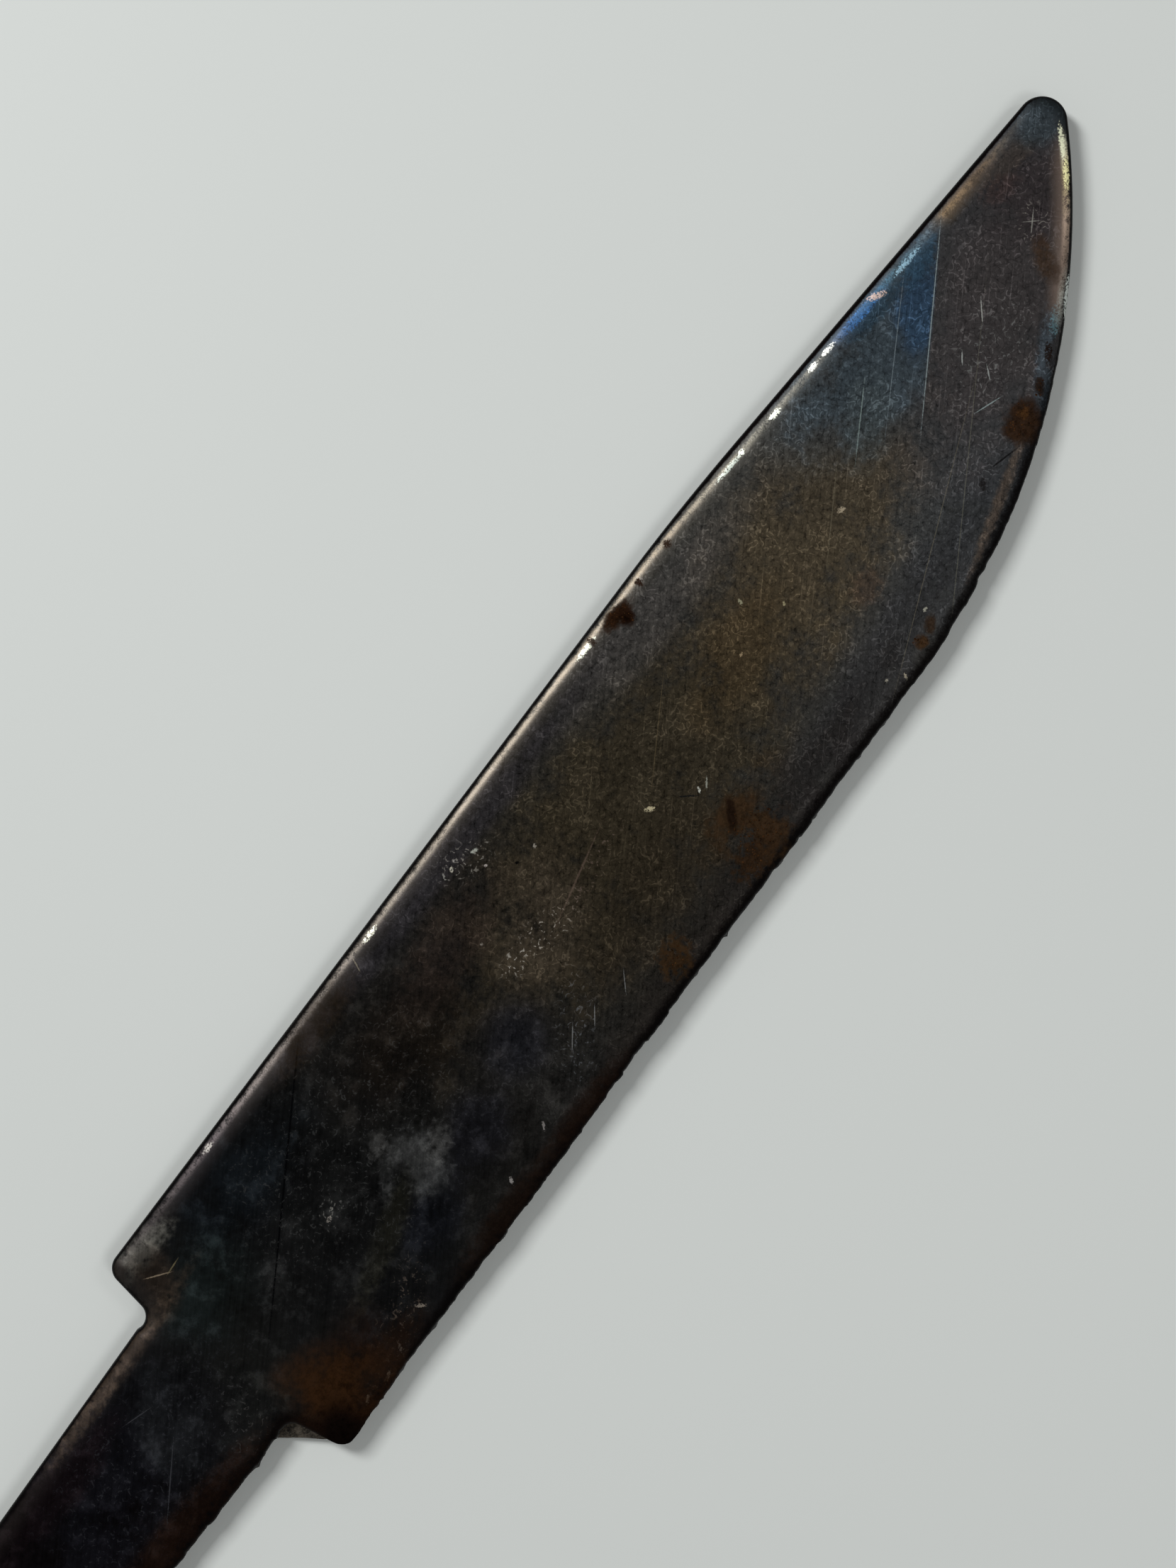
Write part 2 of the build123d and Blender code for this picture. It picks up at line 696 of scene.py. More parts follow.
        spine_foot, spine_notch, spine_end = self._tang_root(Side.SPINE)
        edge_foot, self.edge_notch, edge_end = self._tang_root(Side.EDGE)
        spine_mouth, edge_mouth = spine_notch.at(1), self.edge_notch.at(0)
        spine_corner, edge_corner = (0.0, self.half), (0.0, -self.half)
        spine_break = (self.spine_straight, self.half)
        bend = self._rounded(nose.at(1), spine_break, spine_corner, self.spine_radius)
        spine_round = self._rounded(spine_break, spine_corner, spine_foot, self.shoulder_radius)
        end_spine = self._rounded(spine_mouth, spine_end, edge_end, self.tang_end_radius)
        end_edge = self._rounded(spine_end, edge_end, edge_mouth, self.tang_end_radius)
        edge_round = self._rounded(edge_foot, edge_corner, belly_start, self.shoulder_radius)
        return [
            *straight(edge_round.at(1), belly_start, long),
            *belly.points(long),
            *nose.points(short),
            *straight(nose.at(1), bend.at(0), long),
            *bend.points(long),
            *straight(bend.at(1), spine_round.at(0), long),
            *spine_round.points(short),
            *straight(spine_round.at(1), spine_foot, short),
            *spine_notch.points(short),
            *straight(spine_mouth, end_spine.at(0), long),
            *end_spine.points(long),
            *straight(end_spine.at(1), end_edge.at(0), long),
            *end_edge.points(long),
            *straight(end_edge.at(1), edge_mouth, long),
            *self.edge_notch.points(short),
            *straight(edge_foot, edge_round.at(0), short),
            *edge_round.points(short),
        ]

    def build(self, steel: "TemperedSteel") -> bpy.types.Object:
        """Makes the blade's mesh and dresses it.

        Args:
            steel: The finish.

        Returns:
            The piece, which stands for the solid blade.
        """
        sheet = Sheet(
            self.outline,
            rings=self.face_rings,
            grid=self.face_grid,
            under_rings=self.under_rings,
            under_grid=self.under_grid,
            wall_rings=self.wall_rings,
            snags=self.snags,
        )
        tool = PressTool(
            {
                "Thickness": self.thickness,
                "Roll Width": self.roll_width,
                "Roll Depth": self.roll_depth,
                "Roll Power": self.roll_power,
                "Roll Widening": self.roll_widening,
                "Lip Radius": self.lip_radius,
                "Sheared Share": self.sheared_share,
                "Tear Inset": self.tear_inset,
                "Tear Roughness": self.tear_roughness,
                "Bulge": self.bulge,
                "Scallop": self.scallop,
                "Burr": self.burr,
                "Waviness": self.waviness,
                "Seed": self.seed,
            }
        )
        return tool.piece("blade_steel", sheet.skin(), steel.material())


@dataclass(frozen=True)
class NotchLedge:
    """Torn remnant of the sheet that stays low in the cutting edge side's relief notch.

    Lengths are in millimetres.
    """

    height: float = 1.16
    embed: float = 0.28
    roll_width: float = 0.9
    roll_depth: float = 0.22
    roll_power: float = 2.0
    lip_radius: float = 0.06
    sheared_share: float = 0.1
    scallop: float = 0.1
    waviness: float = 0.3
    ragged: float = 0.10
    spacing: float = 0.1
    seed: int = 11
    face_rings: tuple[float, ...] = (0.04, 0.1, 0.18)
    face_grid: float = 0.16
    under_rings: tuple[float, ...] = (0.2,)
    under_grid: float = 0.4
    wall_rings: int = 6
    reach: float = 0.3
    front: tuple[Point, ...] = (
        (0.1, -11.3),
        (-0.66, -10.95),
        (-1.7, -9.35),
        (-3.0, -7.62),
        (-2.9, -7.2),
    )

    def outline(self, notch: Arc) -> np.ndarray:
        """Walks round the ledge.

        Args:
            notch: The notch's arc.

        Returns:
            Points of the outline, counter-clockwise.
        """
        wide = Arc(notch.centre, notch.radius + self.embed, notch.start + notch.turn, -notch.turn)
        rim = [*wide.points(self.spacing), tuple(wide.at(1))]
        if rim[0][1] < rim[-1][1]:
            rim.reverse()
        for start, end in zip(self.front, self.front[1:]):
            rim += straight(start, end, self.spacing)
        points = np.array(rim)
        x, y = points.T
        area = (x * np.roll(y, -1) - y * np.roll(x, -1)).sum()
        return points if area > 0 else points[::-1]

    def build(self, blank: BladeBlank, torn: "TornSteel") -> bpy.types.Object:
        """Makes the ledge's mesh and dresses it.

        Args:
            blank: The blade that the ledge hangs on.
            torn: The finish.

        Returns:
            The piece.
        """
        sheet = Sheet(
            self.outline(blank.edge_notch),
            rings=self.face_rings,
            grid=self.face_grid,
            under_rings=self.under_rings,
            under_grid=self.under_grid,
            wall_rings=self.wall_rings,
            reach=self.reach,
        )
        tool = PressTool(
            {
                "Thickness": self.height,
                "Roll Width": self.roll_width,
                "Roll Depth": self.roll_depth,
                "Roll Power": self.roll_power,
                "Roll Widening": 0.0,
                "Lip Radius": self.lip_radius,
                "Sheared Share": self.sheared_share,
                "Tear Inset": 0.0,
                "Tear Roughness": self.ragged,
                "Bulge": 0.0,
                "Scallop": self.scallop,
                "Burr": 0.0,
                "Waviness": self.waviness,
                "Seed": self.seed,
            }
        )
        return tool.piece("notch_ledge", sheet.skin(), torn.material())


@dataclass(frozen=True)
class RustCrust:
    """Grains of rust that stand on the blade's rusted patches, in millimetres.

    They lie only on what is higher than face_floor, which leaves out the wall and the underside.
    """

    density: float = 9.0
    smallest: float = 0.035
    largest: float = 0.12
    flatness: float = 0.45
    roughness: float = 0.05
    seed: int = 7
    face_floor: float = 2.2

    def build(
        self, blade: bpy.types.Object, patches: Sequence["Mark"], rust: "Rust"
    ) -> bpy.types.Object:
        """Scatters the grains and dresses them.

        Args:
            blade: The finished blade.
            patches: The rusted patches.
            rust: The finish.

        Returns:
            The piece.
        """
        ground = blade.data.copy()
        places = np.empty(len(ground.vertices) * 3)
        ground.vertices.foreach_get("co", places)
        places = places.reshape(-1, 3) / MM
        cover = np.zeros(len(places))
        for patch in patches:
            away = places[:, :2] - (patch.x, patch.y)
            along = away @ heading(patch.turn) / patch.length
            across = away @ heading(patch.turn + 90) / patch.width
            cover = np.maximum(cover, 1 - 2 * np.hypot(along, across))
        cover[places[:, 2] < self.face_floor] = 0.0
        ground.attributes.new("cover", "FLOAT", "POINT").data.foreach_set("value", cover)
        tool = CrustTool(
            {
                "Density": self.density / MM**2,
                "Smallest": self.smallest * MM,
                "Largest": self.largest * MM,
                "Flatness": self.flatness,
                "Roughness": self.roughness * MM,
                "Seed": self.seed,
            }
        )
        return tool.piece("rust_crust", ground, rust.material())


class GeometryTool(Graph):
    """A Geometry Nodes tree with named inputs, which is used on one mesh and then put away."""

    sharp_angle = 50.0

    def __init__(self, name: str, inputs: Mapping[str, Number]) -> None:
        """Makes the tree and its inputs.

        Args:
            name: The tree's name.
            inputs: Name and value of each number that the tree takes.
        """
        super().__init__(bpy.data.node_groups.new(name, "GeometryNodeTree"))
        self.values = dict(inputs)
        sockets = self.tree.interface
        sockets.new_socket("Geometry", in_out="OUTPUT", socket_type="NodeSocketGeometry")
        sockets.new_socket("Geometry", in_out="INPUT", socket_type="NodeSocketGeometry")
        self.keys = {
            key: sockets.new_socket(key, in_out="INPUT", socket_type="NodeSocketFloat").identifier
            for key in inputs
        }
        material = sockets.new_socket("Material", in_out="INPUT", socket_type="NodeSocketMaterial")
        self.keys["Material"] = material.identifier
        self.entry = self.tree.nodes.new("NodeGroupInput")
        self.geometry = self["Geometry"]

    def __getitem__(self, name: str) -> Wire:
        """The named input of the tree."""
        return Wire(self, self.entry.outputs[name])

    def attribute(self, name: str, kind: str = "FLOAT") -> Wire:
        """A named attribute of the mesh.

        Args:
            name: The attribute's name.
            kind: Its data type.

        Returns:
            The attribute's field.
        """
        settings = {"data_type": kind}
        return self.node("GeometryNodeInputNamedAttribute", settings, {"Name": name}, "Attribute")

    def join(self, flat: Wire, height: Operand) -> Wire:
        """Vector with the x and y of one vector and another height."""
        x, y, _ = self.split(flat)
        return self.node("ShaderNodeCombineXYZ", {}, {"X": x, "Y": y, "Z": height})

    def feed_position(self, place: Wire) -> None:
        """Moves the geometry's points."""
        inputs = {"Geometry": self.geometry, "Position": place}
        self.geometry = self.node("GeometryNodeSetPosition", {}, inputs)

    def apply(self, mesh: bpy.types.Mesh, material: bpy.types.Material) -> bpy.types.Mesh:
        """Ends the tree, runs it once and keeps the result.

        Args:
            mesh: The mesh to work on.
            material: The material of what comes out.

        Returns:
            A plain mesh.
        """
        real = self.node("GeometryNodeRealizeInstances", {}, {"Geometry": self.geometry})
        inputs = {"Geometry": real, "Material": self["Material"]}
        dressed = self.node("GeometryNodeSetMaterial", {}, inputs)
        self.node("NodeGroupOutput", {}, {"Geometry": dressed})
        blank = bpy.data.objects.new(f"{self.tree.name}_blank", mesh)
        bpy.context.collection.objects.link(blank)
        modifier = blank.modifiers.new(self.tree.name, "NODES")
        modifier.node_group = self.tree
        for name, value in (*self.values.items(), ("Material", material)):
            modifier[self.keys[name]] = value
        depsgraph = bpy.context.evaluated_depsgraph_get()
        result = bpy.data.meshes.new_from_object(
            blank.evaluated_get(depsgraph), preserve_all_data_layers=True, depsgraph=depsgraph
        )
        bpy.data.objects.remove(blank)
        return result

    def piece(self, name: str, mesh: bpy.types.Mesh, material: bpy.types.Material) -> bpy.types.Object:
        """Makes a finished piece.

        Args:
            name: The piece's name.
            mesh: The mesh to work on.
            material: The piece's material.

        Returns:
            The piece, at the origin.
        """
        result = self.apply(mesh, material)
        result.shade_smooth()
        result.set_sharp_from_angle(angle=math.radians(self.sharp_angle))
        piece = bpy.data.objects.new(name, result)
        bpy.context.collection.objects.link(piece)
        return piece


class PressTool(GeometryTool):
    """Gives a flat skin its section: roll, sheared wall, torn wall, and an uneven cutting edge."""

    widened = (74.0, 88.0)
    let_out = (114.0, 98.0)

    def __init__(self, sizes: Mapping[str, Number]) -> None:
        """Lays out the nodes.

        Args:
            sizes: Value of each of the tool's inputs.
        """
        super().__init__("press", sizes)
        place = self.scaled(self.node("GeometryNodeInputPosition"), 1 / MM)
        rim, drop = self.attribute("rim"), self.attribute("drop")
        outward = self.attribute("outward", "FLOAT_VECTOR")
        seed = self["Seed"]

        slump = self.noise(place, 0.11, 2, seed=seed) - 0.5
        tipward = self.split(place)[0].between(*self.widened)
        width = self["Roll Width"] * (1 + tipward * self["Roll Widening"])
        inner = self.maths("SUBTRACT", 1.0, rim / width, clamp=True)
        roll = self["Roll Depth"] * (1 + slump * 0.9) * inner ** self["Roll Power"]
        lip = self.maths("SUBTRACT", 1.0, rim / self["Lip Radius"], clamp=True)
        roll = roll + self["Lip Radius"] * (1 - (1 - lip * lip).maths("SQRT"))
        waves = self.noise(place, 0.32, 2, seed=seed + 3) - 0.5
        waves = waves + (self.noise(place, 1.1, 2, seed=seed + 5) - 0.5) * 0.35
        height = (self["Thickness"] - roll + waves * self["Waviness"]) * (1 - drop)

        streaked = self.vector("ADD", place, self.scaled(outward, 1.0))
        streaks = self.noise(streaked, 1.9, 3, seed=seed + 7) - 0.5
        grains = self.noise(self.join(place, height * 0.6), 2.6, 2, seed=seed + 9) - 0.5
        torn = drop.between(self["Sheared Share"], self["Sheared Share"] + 0.16)
        shift = (streaks * 0.5 + grains) * self["Tear Roughness"] * torn
        shift = shift - self["Tear Inset"] * torn * drop
        burr = drop.between(0.84, 1.0) * self.noise(place, 0.55, 3, seed=seed + 11).between(0.5, 0.75)
        shift = shift + burr * self["Burr"] + self["Bulge"]
        shift = shift + self._scallops(place, outward, seed) * self["Scallop"]
        shift = shift + self.attribute("snag") * drop.between(0.0, 0.25) * drop.between(0.9, 0.4)
        moved = self.vector("ADD", place, self.scaled(outward, shift))
        self.feed_position(self.scaled(self.join(moved, height), MM))

    def _scallops(self, place: Wire, outward: Wire, seed: Wire) -> Wire:
        """How far the die's worn edge lets the cutting edge's side out.

        Args:
            place: The coordinates, in millimetres.
            outward: The direction out of the rim.
            seed: Picks the pattern.

        Returns:
            A number around 0, which steps now and then.
        """
        x = self.split(place)[0]
        cutting = self.split(outward)[1].between(-0.2, -0.9) * x.between(*self.let_out)
        flat = self.join(place, 0.0)
        stretch = (x * 0.3 + self.noise(flat, 0.3, 1, seed=seed + 17) * 4).maths("FLOOR")
        settings = {"noise_dimensions": "1D"}
        steps = self.node("ShaderNodeTexWhiteNoise", settings, {"W": stretch + seed}, "Value") - 0.5
        waves = self.noise(flat, 0.21, 1.5, seed=seed + 13) - 0.5
        chatter = self.noise(flat, 1.3, 2, seed=seed + 15) - 0.5
        return (steps * 0.5 + waves * 1.2 + chatter * 0.8) * cutting


class CrustTool(GeometryTool):
    """Scatters flat, rough grains over the covered part of a surface."""

    def __init__(self, sizes: Mapping[str, Number]) -> None:
        """Lays out the nodes.

        Args:
            sizes: Value of each of the tool's inputs.
        """
        super().__init__("crust", sizes)
        density = self["Density"] * self.attribute("cover").between(0, 0.5)
        inputs = {"Mesh": self.geometry, "Density": density, "Seed": self["Seed"]}
        spots = self.node("GeometryNodeDistributePointsOnFaces", {}, inputs).socket.node
        grain = self.node("GeometryNodeMeshIcoSphere", {}, {"Radius": 1.0, "Subdivisions": 2})
        settings = {"data_type": "FLOAT_VECTOR"}
        low = self.node("ShaderNodeCombineXYZ", {}, {0: 0.6, 1: 0.6, 2: self["Flatness"]})
        inputs = {"Min": low, "Max": (1.0, 1.0, 0.5), "Seed": self["Seed"]}
        shape = self.node("FunctionNodeRandomValue", settings, inputs, "Value")
        inputs = {"Min": self["Smallest"], "Max": self["Largest"], "Seed": self["Seed"] + 1}
        size = self.node("FunctionNodeRandomValue", {"data_type": "FLOAT"}, inputs, "Value")
        inputs = {
            "Points": Wire(self, spots.outputs["Points"]),
            "Instance": grain,
            "Rotation": Wire(self, spots.outputs["Rotation"]),
            "Scale": self.scaled(shape, size),
        }
        placed = self.node("GeometryNodeInstanceOnPoints", {}, inputs)
        self.geometry = self.node("GeometryNodeRealizeInstances", {}, {"Geometry": placed})
        place = self.node("GeometryNodeInputPosition")
        rough = self.noise(place, 5.0 / MM, 1, out=1)
        moved = self.scaled(self.vector("SUBTRACT", rough, (0.5, 0.5, 0.5)), self["Roughness"])
        self.feed_position(self.vector("ADD", place, moved))


@dataclass(frozen=True)
class Mark:
    """An uneven oval on the upper face, in millimetres and degrees, with a display tone."""

    x: float
    y: float
    length: float
    width: float
    turn: float
    tone: Tone
    strength: float = 1.0
    soft: float = 0.9
    ragged: float = 1.0


@dataclass(frozen=True)
class Scratch:
    """A straight line scored into the upper face, in millimetres, with a display tone."""

    start: Point
    end: Point
    width: float
    tone: Tone
    strength: float = 1.0

    def mark(self) -> Mark:
        """Turns the scratch into a very thin oval.

        Returns:
            The mark.
        """
        run, rise = self.end[0] - self.start[0], self.end[1] - self.start[1]
        middle = ((self.start[0] + self.end[0]) / 2, (self.start[1] + self.end[1]) / 2)
        turn = math.degrees(math.atan2(rise, run))
        long = math.hypot(run, rise)
        return Mark(*middle, long, self.width, turn, self.tone, self.strength, 0.8, 0.3)


TEMPER_MARKS = (
    Mark(60.0, 0.8, 46.0, 15.0, -1.0, (43, 37, 27), 0.85, 1.0, 0.9),
    Mark(85.0, 2.6, 28.0, 12.5, 6.0, (62, 54, 42), 0.85, 1.0, 0.9),
    Mark(45.5, 1.0, 11.0, 7.0, 20.0, (54, 47, 39), 0.6, 1.1, 1.0),
    Mark(63.0, -7.4, 11.0, 4.0, 4.0, (38, 30, 21), 0.7, 1.1, 1.1),
    Mark(52.0, -5.4, 18.0, 7.0, 4.0, (34, 29, 22), 0.7, 1.1, 1.1),
    Mark(73.5, 1.2, 12.0, 5.0, 10.0, (52, 42, 28), 0.6, 1.1, 1.0),
    Mark(46.0, 10.5, 44.0, 2.6, -1.0, (38, 36, 39), 0.7, 1.1, 0.7),
    Mark(72.0, 8.8, 20.0, 4.0, -2.0, (62, 59, 57), 0.6, 1.1, 0.9),
    Mark(84.0, -8.6, 40.0, 5.0, 4.0, (41, 41, 43), 0.7, 1.1, 0.8),
    Mark(57.0, -10.8, 44.0, 4.6, 3.5, (23, 20, 18), 0.7, 1.2, 0.9),
    Mark(111.0, 1.0, 30.0, 11.0, 12.0, (54, 50, 50), 0.8, 1.0, 0.6),
    Mark(119.0, 5.0, 7.5, 7.0, 30.0, (46, 41, 42), 0.7, 1.0, 1.0),
    Mark(120.8, 8.0, 7.0, 1.8, -8.0, (60, 53, 48), 0.6, 1.0, 1.0),
    Mark(124.6, 7.9, 4.6, 3.4, -20.0, (50, 57, 62), 0.85, 0.9, 0.9),
    Mark(112.0, -3.2, 2.2, 0.7, 30.0, (74, 104, 112), 0.7, 1.0, 1.0),
    Mark(108.0, -5.0, 9.0, 1.4, 33.0, (56, 66, 74), 0.6, 1.0, 1.0),
    Mark(84.5, -4.0, 3.0, 2.4, 10.0, (62, 49, 40), 0.5, 1.1, 1.1),
    Mark(118.0, 7.2, 3.4, 1.8, -15.0, (54, 42, 40), 0.5, 1.1, 1.1),
    Mark(97.0, -8.6, 12.0, 0.9, 16.0, (74, 62, 52), 0.6, 1.1, 0.9),
    Mark(12.0, 7.6, 15.0, 6.0, 2.0, (15, 18, 21), 0.85, 1.2, 0.9),
    Mark(20.5, -6.2, 8.0, 4.5, 30.0, (14, 15, 19), 0.8, 1.1, 0.9),
    Mark(28.0, -5.4, 7.0, 5.0, 10.0, (18, 18, 22), 0.7, 1.1, 0.9),
    Mark(36.4, -3.1, 6.5, 5.5, 0.0, (20, 21, 26), 0.7, 1.1, 0.9),
    Mark(4.0, 4.6, 8.5, 7.0, 10.0, (21, 26, 26), 0.8, 1.2, 0.9),
    Mark(16.5, -4.6, 12.0, 2.0, 15.0, (30, 29, 23), 0.6, 1.2, 1.0),
    Mark(11.0, -0.5, 16.0, 9.0, 0.0, (17, 17, 17), 0.6, 1.2, 0.9),
    Mark(31.5, 4.0, 13.0, 8.0, 0.0, (16, 12, 9), 0.7, 1.2, 1.0),
    Mark(40.0, 6.0, 12.0, 5.0, 10.0, (35, 28, 25), 0.6, 1.2, 1.0),
    Mark(2.2, 11.2, 7.0, 2.0, -6.0, (86, 84, 79), 0.7, 1.3, 1.2),
    Mark(1.6, 8.8, 5.0, 3.6, 50.0, (40, 33, 28), 0.8, 1.2, 1.1),
    Mark(0.4, 11.6, 1.8, 1.8, 0.0, (22, 14, 11), 0.8, 1.2, 1.1),
    Mark(-14.0, 1.0, 22.0, 9.0, 5.0, (15, 15, 19), 0.8, 1.2, 1.0),
    Mark(-7.0, 0.6, 8.0, 5.0, 60.0, (28, 29, 31), 0.7, 1.3, 1.2),
    Mark(-18.0, 4.4, 16.0, 3.0, 0.0, (17, 11, 13), 0.7, 1.2, 1.0),
    Mark(-6.0, 6.7, 16.0, 1.5, 2.0, (58, 48, 40), 0.7, 1.2, 1.0),
    Mark(-13.0, -5.6, 14.0, 2.6, -3.0, (24, 15, 11), 0.7, 1.2, 1.1),
    Mark(23.4, -3.0, 5.4, 3.6, 60.0, (52, 52, 52), 0.65, 1.4, 1.5),
    Mark(25.4, -3.4, 3.6, 1.6, 20.0, (64, 63, 62), 0.5, 1.4, 1.5),
    Mark(22.2, 0.7, 2.2, 1.4, 30.0, (62, 61, 60), 0.5, 1.4, 1.3),
    Mark(20.4, -1.6, 4.0, 1.0, 40.0, (44, 44, 44), 0.5, 1.4, 1.3),
    Mark(16.0, 0.6, 3.6, 1.6, 10.0, (30, 30, 30), 0.6, 1.4, 1.3),
    Mark(8.0, 0.8, 3.0, 2.0, 50.0, (28, 28, 28), 0.6, 1.4, 1.3),
)

TEMPER_LINE = ((98.4, 0.6), (112.7, 9.4))
BLUE_MARKS = (
    Mark(101.5, 6.4, 21.0, 9.5, -8.0, (52, 60, 66), 0.9, 1.0, 0.8),
    Mark(106.2, 6.8, 8.0, 3.6, 35.0, (38, 56, 76), 0.8, 1.1, 0.9),
    Mark(109.3, 9.0, 5.0, 2.2, 10.0, (42, 62, 78), 0.8, 1.0, 0.9),
    Mark(103.4, 9.4, 6.0, 1.6, -4.0, (34, 50, 62), 0.7, 1.0, 0.9),
    Mark(102.7, 10.2, 4.6, 0.7, -4.0, (44, 84, 132), 0.9, 1.0, 0.9),
    Mark(96.0, 4.6, 7.0, 3.6, 30.0, (54, 60, 62), 0.6, 1.1, 1.0),
)

CRUST_MARKS = (
    Mark(69.9, 11.3, 3.0, 1.3, -4.0, (44, 28, 17), 1.0, 0.9, 0.8),
    Mark(70.3, 10.6, 1.3, 1.4, 0.0, (38, 23, 14), 1.0, 0.9, 0.8),
    Mark(62.6, -8.6, 4.6, 5.4, 30.0, (58, 42, 27), 0.85, 1.1, 2.4),
    Mark(60.6, -10.2, 3.8, 2.4, 0.0, (50, 35, 22), 0.8, 1.1, 2.2),
    Mark(49.9, -9.9, 3.0, 2.4, 20.0, (56, 40, 24), 0.8, 1.1, 2.2),
    Mark(83.6, -10.5, 1.2, 1.0, 0.0, (70, 50, 32), 0.9, 0.9, 0.9),
    Mark(103.5, -6.0, 3.2, 2.6, 30.0, (48, 33, 22), 0.95, 1.1, 1.8),
    Mark(104.2, -5.8, 1.0, 0.9, 0.0, (78, 52, 28), 0.7, 1.0, 1.1),
    Mark(106.8, -5.5, 1.4, 0.8, 40.0, (38, 27, 19), 0.9, 0.9, 0.9),
)
RUST_MARKS = (
    *CRUST_MARKS,
    Mark(73.3, 11.5, 0.5, 0.7, 0.0, (48, 32, 22), 0.9, 0.9, 0.8),
    Mark(66.9, 11.7, 0.5, 0.7, 0.0, (48, 32, 22), 0.9, 0.9, 0.8),
    Mark(77.3, 11.6, 0.7, 0.6, 0.0, (58, 40, 28), 0.8, 0.9, 0.8),
    Mark(62.3, -6.5, 2.8, 0.8, 45.0, (26, 17, 12), 0.9, 0.9, 1.0),
    Mark(85.2, -10.2, 1.5, 0.8, 30.0, (62, 46, 32), 0.7, 1.0, 0.9),
    Mark(109.5, -4.4, 1.5, 0.6, 40.0, (34, 24, 18), 0.9, 0.9, 0.9),
    Mark(115.4, 0.3, 3.0, 1.6, 60.0, (66, 51, 39), 0.7, 1.3, 1.1),
    Mark(116.4, 1.6, 1.6, 1.2, 60.0, (60, 45, 34), 0.6, 1.3, 1.1),
    Mark(3.4, -9.9, 11.0, 6.0, 15.0, (32, 19, 11), 0.8, 1.7, 1.0),
    Mark(4.6, -9.0, 8.0, 4.4, -53.0, (52, 32, 16), 0.65, 1.6, 1.8),
    Mark(0.8, -11.7, 4.6, 3.2, 40.0, (10, 6, 5), 0.9, 1.6, 0.8),
    Mark(9.0, -10.6, 7.0, 2.2, 0.0, (34, 22, 14), 0.6, 1.6, 1.0),
    Mark(35.0, -11.4, 9.0, 1.6, 0.0, (32, 21, 15), 0.6, 1.5, 1.1),
    Mark(24.0, -11.4, 10.0, 1.8, 0.0, (32, 22, 16), 0.55, 1.5, 1.1),
    Mark(27.0, 10.8, 9.0, 2.2, 0.0, (40, 31, 20), 0.5, 1.5, 1.1),
    Mark(-12.0, -5.9, 15.0, 2.4, -3.0, (28, 17, 11), 0.5, 1.6, 1.6),
)

SCRATCHES = (
    Scratch((26.8, 12.2), (4.0, -1.7), 0.17, (4, 4, 5), 0.9),
    Scratch(*TEMPER_LINE, 0.09, (124, 134, 136), 0.7),
    Scratch((107.6, 9.4), (96.0, 2.6), 0.07, (110, 120, 126), 0.5),
    Scratch((98.0, 6.4), (92.6, 3.2), 0.10, (112, 124, 122), 0.6),
    Scratch((110.4, 3.0), (84.0, -13.0), 0.07, (92, 90, 78), 0.4),
    Scratch((104.4, -0.6), (79.0, -11.2), 0.07, (96, 90, 76), 0.4),
    Scratch((91.6, 4.4), (83.4, -0.6), 0.06, (100, 94, 78), 0.4),
    Scratch((69.0, 5.6), (60.0, 0.2), 0.07, (84, 72, 52), 0.4),
    Scratch((98.9, -6.4), (101.4, -7.1), 0.16, (14, 13, 13), 0.9),
    Scratch((109.7, 2.9), (108.2, 1.6), 0.10, (150, 150, 146), 0.7),
    Scratch((105.2, 1.5), (104.3, 0.8), 0.11, (150, 152, 150), 0.7),
    Scratch((105.5, -0.9), (104.7, -1.8), 0.10, (142, 146, 144), 0.7),
    Scratch((104.0, -3.4), (101.9, -2.6), 0.10, (128, 140, 140), 0.7),
    Scratch((118.4, 3.9), (116.6, 2.8), 0.10, (134, 132, 126), 0.6),
    Scratch((117.9, 2.9), (117.0, 3.9), 0.08, (134, 132, 126), 0.5),
    Scratch((3.2, 8.1), (1.4, 9.5), 0.12, (118, 104, 88), 0.8),
    Scratch((4.4, 8.3), (2.9, 8.2), 0.12, (96, 88, 66), 0.7),
    Scratch((54.1, 1.6), (46.4, -0.2), 0.16, (80, 66, 58), 0.5),
    Scratch((40.2, -6.4), (38.4, -7.7), 0.09, (104, 104, 104), 0.6),
    Scratch((42.6, -6.9), (41.3, -7.9), 0.09, (104, 104, 104), 0.6),
    Scratch((46.4, -7.1), (45.0, -8.4), 0.09, (98, 98, 98), 0.6),
    Scratch((-8.0, -0.6), (-13.6, -4.2), 0.09, (58, 58, 62), 0.6),
    Scratch((-7.0, 2.6), (-9.4, 3.4), 0.09, (62, 62, 66), 0.5),
    Scratch((98.6, 12.0), (98.2, 11.4), 0.10, (30, 24, 20), 0.8),
    Scratch((33.5, 11.7), (33.0, 10.6), 0.12, (120, 112, 98), 0.6),
)

